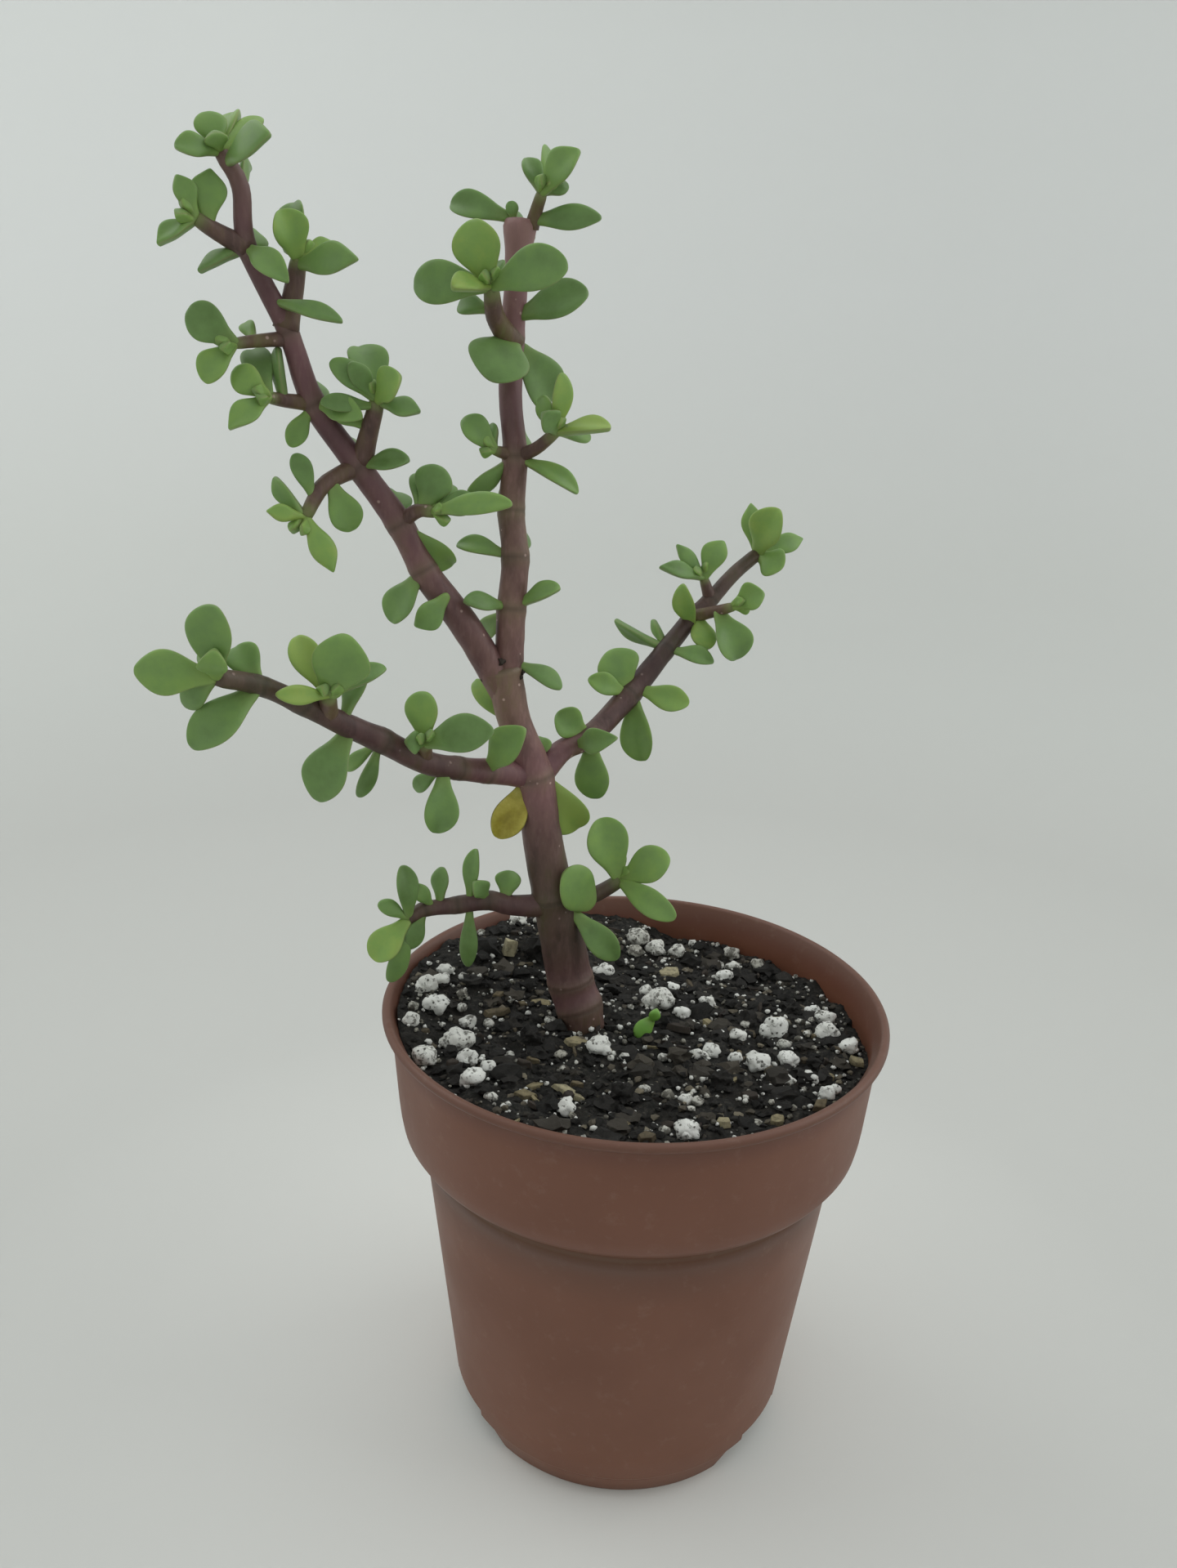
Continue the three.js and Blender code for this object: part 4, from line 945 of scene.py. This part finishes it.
        "path": [(-16.5, 2, 110.3), (-9, 4.5, 111.8), (-3.9, 5.6, 114.6)],
        "radii": [(0, 1.8), (2, 1.4)],
        "shades": [(0, 0.6, -0.3), (2, 0.7, -0.3)],
        "leaves": [
            (2, 110, -12.5, 12, 9.4, -22, {"tone": 0.6, "point": 0}), (2, 88, -32.5, 5, 4, 22),
            (2, 35, 7.5, 10.2, 8, 30, {"tone": 0.6, "point": 0, "shift": (0.4, 0, 0)}),
            (2, 341, 38, 13.6, 5.8, 20, {"tone": 0.5, "point": 0, "oval": 0.35}),
            (0.7, 122, 22, 10.2, 9.6, -35, {"tone": 0.5, "arch": 10, "fold": 5, "point": 0, "oval": 0.9,
                                            "shift": (2, -1.8, -0.9)}),
        ],
    },
    "seedling": {
        "path": [(3.5, 0, 82.5), (3.5, -0.5, 87)],
        "radii": [(0, 0.5), (1, 0.45)],
        "leaves": [
            (1, 222, 30, 4.4, 4.4, 0, {"tone": 0.4, "point": 0, "oval": 0.9, "fold": 6}),
            (1, 66, 10, 2.6, 2.6, 0, {"tone": 0.6, "oval": 0.6}),
        ],
    },
}

# one ageing leaf low on the trunk, its own colour
yellowLeaf = {"stem": "trunk", "leaf": (5.12, 243, 8, 12, 7.2, 0, {"tone": 0.47, "fold": 38, "point": 0.3})}

driedScales = {
    # where old leaves and shoots dried off: x, y, z and size in mm
    "places": [(-27.4, -0.5, 159.6, 1), (-28.5, -0.5, 158.8, 0.7), (-30.9, 0.4, 156.4, 1.3),
               (-31.2, 0.2, 157.6, 0.8), (-23.6, 0.9, 157.4, 0.8), (-23.9, 0.4, 156.6, 0.6)],
    "form": {"squash": 1.3, "rough": 1.1, "detail": 2, "shade": 0.3},
}

leafForm = {
    "steps": (8, 8),  # faces round the blade and along it
    "thickness": 2.2,  # mm at its fleshiest
    "stalk": 1.6,  # mm of its root inside the stem
    "arch": (30, -16, 24),  # degrees, and how far a leaf may differ from it
    "fold": (23, -17, 22),
    "sunk": 0.85,  # share of the stem's radius that the root stands out from the middle
    "bud": {"tone": 0.65, "fold": 45, "arch": 5},
}

stemForm = {
    "sides": 14,
    "spacing": 1.1,  # mm between its rings
    "rings": (-0.75, -0.3, 0.3, 0.75),  # mm from a joint, where more rings are set
    "swelling": (0.1, 1.3),  # share of the radius at a joint, and its reach in mm
    "groove": (0.04, 0.45),  # round the middle of the joint
    "collar": (0.22, 2.5),  # at the stem's root
    "wobble": 0.035,
    "marks": {"joint": 0.5, "scar": 1.5},  # mm that the dark joint and the pale scar reach
    "greenFrom": 0.72,  # share of the stem where the bark starts to turn green
    "slender": 2.1,  # mm, and thinner stems have a soft green bark and end in buds
}


def pointOn(path, place):
    # a smooth curve through the path's points
    points = [Vector(p) for p in path]
    i = min(int(place), len(points) - 2)
    t = place - i
    before = points[i - 1] if i > 0 else points[0] * 2 - points[1]
    after = points[i + 2] if i + 2 < len(points) else points[-1] * 2 - points[-2]
    a, b = points[i], points[i + 1]
    return 0.5 * ((2 * a) + (b - before) * t + (2 * before - 5 * a + 4 * b - after) * t ** 2
                  + (3 * a - before - 3 * b + after) * t ** 3)


def valueOn(rows, place, column=1):
    # between the rows' values, in straight steps
    for low, high in zip(rows, rows[1:]):
        if place <= high[0]:
            return low[column] + (high[column] - low[column]) * max(0, place - low[0]) / (high[0] - low[0])
    return rows[-1][column]


def addStem(bm, stem, seed):
    path = stem["path"]
    last = len(path) - 1
    joints = [(pointOn(path, j), j) for j in stem.get("joints", [])]
    places = []
    for i in range(last):
        count = max(3, int((Vector(path[i + 1]) - Vector(path[i])).length / stemForm["spacing"]))
        places += [i + k / count for k in range(count)]
    places.append(last)
    for _, joint in joints:
        perPlace = (pointOn(path, min(joint + 0.5, last)) - pointOn(path, joint - 0.5)).length
        added = [joint + offset / perPlace for offset in stemForm["rings"]]
        places += [place for place in added if place < last]
    places = sorted(set(places))
    top = len(places) + 1
    made = bmesh.ops.create_uvsphere(bm, u_segments=stemForm["sides"], v_segments=top, radius=1)["verts"]
    layers = bm.verts.layers.float
    shades = stem.get("shades", [(0, 1, 0)])
    swelling, swellReach = stemForm["swelling"]
    groove, grooveReach = stemForm["groove"]
    collar, collarReach = stemForm["collar"]
    collar = stem.get("collar", collar)

    # a frame that moves up the stem without twisting
    rows = []
    across = Vector((1, 0, 0))
    for place in places:
        centre = pointOn(path, place)
        ahead = (pointOn(path, min(place + 0.02, last)) - pointOn(path, max(place - 0.02, 0))).normalized()
        across = (across - ahead * across.dot(ahead)).normalized()
        near = min(((centre - at).length for at, _ in joints), default=99)
        relief = 1 + swelling * exp(-(near / swellReach) ** 2) - groove * exp(-(near / grooveReach) ** 2)
        relief += collar * exp(-(centre - pointOn(path, 0)).length / collarReach)
        radius = valueOn(stem["radii"], place) * relief
        rows.append((centre, across, ahead.cross(across), radius, near, ahead, place))
    for v in made:
        index = round(acos(max(-1, min(1, -v.co.z))) / pi * top)
        turn = atan2(v.co.y, v.co.x)
        centre, side, other, radius, near, ahead, place = rows[min(max(index - 1, 0), len(places) - 1)]
        if index == 0:
            point = centre
        elif index == top:
            point = centre + ahead * radius * 0.22  # a low dome closes the end
        else:
            grain = noise.noise(centre * 0.35 + Vector((cos(turn), sin(turn), seed)) * 0.9)
            wobble = 1 + stemForm["wobble"] * grain
            if index == top - 1:
                wobble *= 0.9
            point = centre + (side * cos(turn) + other * sin(turn)) * radius * wobble
        v.co = spot(*point)
        for mark, reach in stemForm["marks"].items():
            v[layers[mark]] = exp(-(near / reach) ** 2)
        v[layers["tip"]] = blendStep(stemForm["greenFrom"], 1, place / last)
        # how light the bark is: its own tone with painted light and shade
        v[layers["light"]] = valueOn(shades, place)
        v[layers["rosy"]] = valueOn(shades, place, 2)


def addLeaf(bm, stem, row, seed):
    place, angle, toward, length, width, turn = row[:6]
    extra = row[6] if len(row) > 6 else {}
    draw = random.Random(seed)
    arch, fold = (radians(extra.get(name, leafForm[name][0] + draw.uniform(*leafForm[name][1:])))
                  for name in ("arch", "fold"))
    tone = extra.get("tone", draw.uniform(0.08, 0.55))
    point = extra.get("point", draw.uniform(0.0, 0.4))
    lean = radians(toward)
    ahead = Vector((cos(radians(angle)) * cos(lean), -sin(lean), sin(radians(angle)) * cos(lean)))
    face = Vector((0, -1, 0))
    face = (face - ahead * face.dot(ahead)).normalized()
    up = face * cos(radians(turn)) + face.cross(ahead) * sin(radians(turn))
    across = ahead.cross(up)
    root = pointOn(stem["path"], place) + ahead * valueOn(stem["radii"], place) * leafForm["sunk"]
    root += Vector(extra.get("shift", (0, 0, 0)))

    around, along = leafForm["steps"]
    made = bmesh.ops.create_uvsphere(bm, u_segments=around, v_segments=along, radius=1)["verts"]
    layers = bm.verts.layers.float
    crease = bm.edges.layers.float.get("crease_edge") or bm.edges.layers.float.new("crease_edge")
    twist = draw.uniform(-0.12, 0.12)
    skew = draw.uniform(-0.06, 0.06)
    for v in made:
        share = (v.co.z + 1) / 2  # from root to tip
        ringSize = sqrt(max(0.0, 1 - v.co.z ** 2))
        turnRound = atan2(v.co.y, v.co.x)
        sideways, upward = cos(turnRound), sin(turnRound)
        # its outline: a narrow stalk, widest past the middle, and drawn in to a point
        stalk = 1 - blendStep(0, 0.13, share)
        taper = (0.6 + 0.52 * blendStep(0, 0.7, share)) / 1.06 * (1 + 0.6 * stalk)
        narrowed = 1 - 0.35 * point * blendStep(0.55, 1, share)
        taper *= narrowed * max(ringSize, 0.1) ** (0.8 * point * blendStep(0.5, 0.9, share))
        taper += (1 - taper) * extra.get("oval", 0)
        ripple = 1 + 0.09 * noise.noise(Vector((share * 3, sideways, seed + 5)))
        halfWidth = width / 2 * ringSize * taper * ripple
        flesh = leafForm["thickness"] / 2 * min(1.0, 3.2 * ringSize)
        flesh *= (0.72 + 0.5 * ringSize) * (1 - 0.25 * share)
        x = sideways * halfWidth + skew * width * sin(pi * share)
        z = upward * flesh * (0.75 if upward > 0 else 1.15)
        lift = abs(sideways) * halfWidth * sin(fold) * (0.5 + 0.7 * share) + twist * x * share
        # bent back along an arc
        bend = arch * (0.5 - share)
        alongPart = length * (sin(arch / 2) - sin(bend)) / arch
        upPart = length * (cos(bend) - cos(arch / 2)) / arch
        edgeWave = 0.2 * noise.noise(Vector((share * 4, sideways * 2, seed)))
        alongPart -= stalk * min(leafForm["stalk"], 0.3 * length)
        at = (root + ahead * (alongPart * 1.02 - sin(bend) * (z + lift) * 0.5)
              + up * (upPart + cos(bend) * (z + lift) + edgeWave) + across * x)
        v.co = spot(*at)
        v[layers["tone"]] = tone
        onEdge = abs(sideways) > 0.99 or share > 0.99
        v[layers["edge"]] = 1.0 if onEdge else (0.3 if abs(sideways) > 0.5 else 0.0)
        v[layers["back"]] = 1.0 if upward < -0.1 else (0.0 if upward > 0.1 else 0.5)
        v[layers["along"]] = share
    for edge in {e for v in made for e in v.link_edges}:
        if all(v[layers["edge"]] == 1.0 for v in edge.verts):
            edge[crease] = 0.35


def budLeaves(stem):
    # the tiny pair that closes the end of a stem
    last = len(stem["path"]) - 1
    ahead = (pointOn(stem["path"], last) - pointOn(stem["path"], last - 0.1)).normalized()
    angle, toward = degrees(atan2(ahead.z, ahead.x)), degrees(asin(-ahead.y))
    return [(last, angle + 24 * side, toward + 12 * side, 2.6, 2.2, 50 * side, leafForm["bud"])
            for side in (-1, 1)]


# tones from dark to young, the dry margin and the underside, then how far the tone wanders, how strong the
# margin is and where it starts
leafColours = {
    "succulentLeafSkin": (
        [(0.0, "#5e7a42"), (0.3, "#719153"), (0.55, "#7c9d56"), (0.8, "#88a957"), (1.0, "#98b159")],
        "#8d8560", "#7a8e63", 0.15, 0.5, 0.8),
    "ageingLeafSkin": (
        [(0.0, "#83762a"), (0.35, "#a39636"), (0.65, "#bdb150"), (1.0, "#d6ce7c")],
        "#4a3820", "#a3942f", 0.35, 0.95, 0.7),
    "seedlingLeafSkin": (
        [(0.0, "#5f8f36"), (0.5, "#72a345"), (1.0, "#8fbb5c")],
        "#6c8a45", "#7ea04f", 0.15, 0.65, 0.8),
}

# tones, and how green the tip is
barkColours = {
    "smoothPurpleBark": (
        [(0.3, "#4a3530"), (0.45, "#644844"), (0.56, "#70544d"), (0.68, "#66563d"), (0.8, "#6a6640")], 0.1),
    "softGreenStem": (
        [(0.3, "#4a3631"), (0.45, "#604842"), (0.6, "#69563f"), (0.8, "#706e45")], 0.75),
}


def leafSkin(name):
    # succulent leaf: waxy and fleshy, so light soaks a little way in; the margin dries to a thin brown line
    tones, marginHex, backHex, mottling, rimAmount, rimStart = leafColours[name]
    material, tree, place = newMaterial(name)
    tone, edge, back, along = (addNode(tree, "Attribute", {"attribute_name": layer}).outputs["Fac"]
                               for layer in ("tone", "edge", "back", "along"))
    mottle = addNode(tree, "TexNoise", values={"Scale": 1 / (4 * mm), "Detail": 4, "Roughness": 0.6},
                     links={"Vector": place})
    shift = addNode(tree, "MapRange", values={
        "From Min": 0.3, "From Max": 0.7, "To Min": -mottling, "To Max": mottling}, links={"Value": mottle})
    toned = addNode(tree, "Math", {"operation": "ADD"}, links={0: tone, 1: shift})
    # the thin outer part of the blade lets more light through
    thinned = addNode(tree, "Math", {"operation": "MULTIPLY_ADD"}, {1: 0.22}, {0: edge, 2: toned})
    tint = addNode(tree, "ValToRGB", links={"Fac": thinned}, stops=tones).outputs[0]
    # paler and yellower where the blade narrows to its root
    rootShare = addNode(tree, "MapRange", values={
        "From Min": 0.02, "From Max": 0.3, "To Min": 0.4, "To Max": 0.0}, links={"Value": along})
    backShare = addNode(tree, "Math", {"operation": "MULTIPLY"}, {1: 0.55}, {0: back})
    rimShare = addNode(tree, "MapRange", values={"From Min": rimStart, "From Max": 1.0, "To Max": rimAmount},
                       links={"Value": edge})
    for amount, hexCode in ((rootShare, "#8fa356"), (backShare, backHex), (rimShare, marginHex)):
        mixed = addNode(tree, "Mix", {"data_type": "RGBA"}, {7: colour(hexCode)}, {0: amount, 6: tint})
        tint = mixed.outputs[2]
    cells = addNode(tree, "TexNoise", values={"Scale": 1 / (0.6 * mm), "Detail": 3}, links={"Vector": place})
    bump = addNode(tree, "Bump", values={"Strength": 0.12, "Distance": 0.12 * mm}, links={"Height": cells})
    gloss = addNode(tree, "MapRange", values={
        "From Min": 0.3, "From Max": 0.7, "To Min": 0.36, "To Max": 0.52}, links={"Value": mottle})
    shader = addNode(tree, "BsdfPrincipled", values={
        "IOR": 1.42, "Subsurface Weight": 0.22, "Subsurface Radius": (0.5, 1.0, 0.25),
        "Subsurface Scale": 1.2 * mm}, links={"Base Color": tint, "Roughness": gloss, "Normal": bump})
    addNode(tree, "OutputMaterial", links={"Surface": shader})
    return material


def stemBark(name):
    # young succulent bark: smooth and thin, purple-brown over green, dark at the joints, with pale pores,
    # and painted light and shade along each stem
    tones, greenTip = barkColours[name]
    material, tree, place = newMaterial(name)
    joint, scar, tip, light, rosy = (addNode(tree, "Attribute", {"attribute_name": layer}).outputs["Fac"]
                                     for layer in ("joint", "scar", "tip", "light", "rosy"))
    streaks = addNode(tree, "Mapping", values={"Scale": (1, 1, 0.35)}, links={"Vector": place})
    patches = addNode(tree, "TexNoise", values={"Scale": 1 / (5 * mm), "Detail": 4, "Roughness": 0.6},
                      links={"Vector": streaks})
    fine = addNode(tree, "TexNoise", values={"Scale": 1 / (0.8 * mm), "Detail": 4}, links={"Vector": streaks})
    fineShare = addNode(tree, "MapRange", values={"From Min": 0.5, "From Max": 0.75, "To Max": 0.35},
                        links={"Value": fine})
    pores = addNode(tree, "TexVoronoi", values={"Scale": 1 / (3.4 * mm)}, links={"Vector": place})
    poreShare = addNode(tree, "MapRange", links={"Value": pores.outputs["Distance"]}, values={
        "From Min": 0.05, "From Max": 0.1, "To Min": 0.75, "To Max": 0.0})
    layers = []
    for source, most, hexCode in ((rosy, 0.7, "#775059"), (rosy, -0.7, "#605a3e"), (scar, 0.25, "#74704c"),
                                  (tip, greenTip, "#7b8a4e"), (joint, 0.4, "#2f231f")):
        amount = addNode(tree, "Math", {"operation": "MULTIPLY", "use_clamp": True}, {1: most}, {0: source})
        layers.append((amount, hexCode))
    layers[-1:-1] = [(fineShare, "#8a6a66"), (poreShare, "#b59a92")]  # under the dark of the joints
    tint = addNode(tree, "ValToRGB", links={"Fac": patches}, stops=tones).outputs[0]
    for amount, hexCode in layers:
        mixed = addNode(tree, "Mix", {"data_type": "RGBA"}, {7: colour(hexCode)}, {0: amount, 6: tint})
        tint = mixed.outputs[2]
    # the tint scaled by how light the bark is, which carries painted light and shade
    final = addNode(tree, "VectorMath", {"operation": "SCALE"}, links={"Vector": tint, "Scale": light})
    relief = addNode(tree, "Math", {"operation": "ADD"}, links={0: fine, 1: poreShare})
    bump = addNode(tree, "Bump", values={"Strength": 0.3, "Distance": 0.15 * mm}, links={"Height": relief})
    shader = addNode(tree, "BsdfPrincipled", values={"Roughness": 0.5, "IOR": 1.45},
                     links={"Base Color": final, "Normal": bump})
    addNode(tree, "OutputMaterial", links={"Surface": shader})
    return material


def makePlant():
    greenLeaf, agedLeaf, seedlingLeaf = (leafSkin(name) for name in leafColours)
    bark, softStem = (stemBark(name) for name in barkColours)
    layers = ("tone", "edge", "back", "along", "joint", "scar", "tip", "light", "rosy")
    for number, (node, stem) in enumerate(stems.items()):
        slender = valueOn(stem["radii"], 0) < stemForm["slender"]
        young = node == "seedling"
        bm = startMesh(*layers)
        addStem(bm, stem, number)
        finishPiece(node + "_wood", bm, softStem if slender else bark, [node])
        bm = startMesh(*layers)
        buds = budLeaves(stem) if slender and not young else []
        for i, row in enumerate(stem["leaves"] + buds):
            addLeaf(bm, stem, row, 31 * number + i)
        finishPiece(node + "_leaves", bm, seedlingLeaf if young else greenLeaf, [node], subdivide=2)
    bm = startMesh(*layers)
    addLeaf(bm, stems[yellowLeaf["stem"]], yellowLeaf["leaf"], 7)
    finishPiece("yellowedLeaf", bm, agedLeaf, ["yellow_leaf"], subdivide=2)
    bm = startMesh("shade")
    for i, (x, y, z, size) in enumerate(driedScales["places"]):
        addLump(bm, x, y, size, seed=5.1 * i, z=z, **driedScales["form"])
    finishPiece("driedScales", bm, barkMaterial(), ["trunk"])


makePlant()
print("plant made")

bpy.context.view_layer.update()
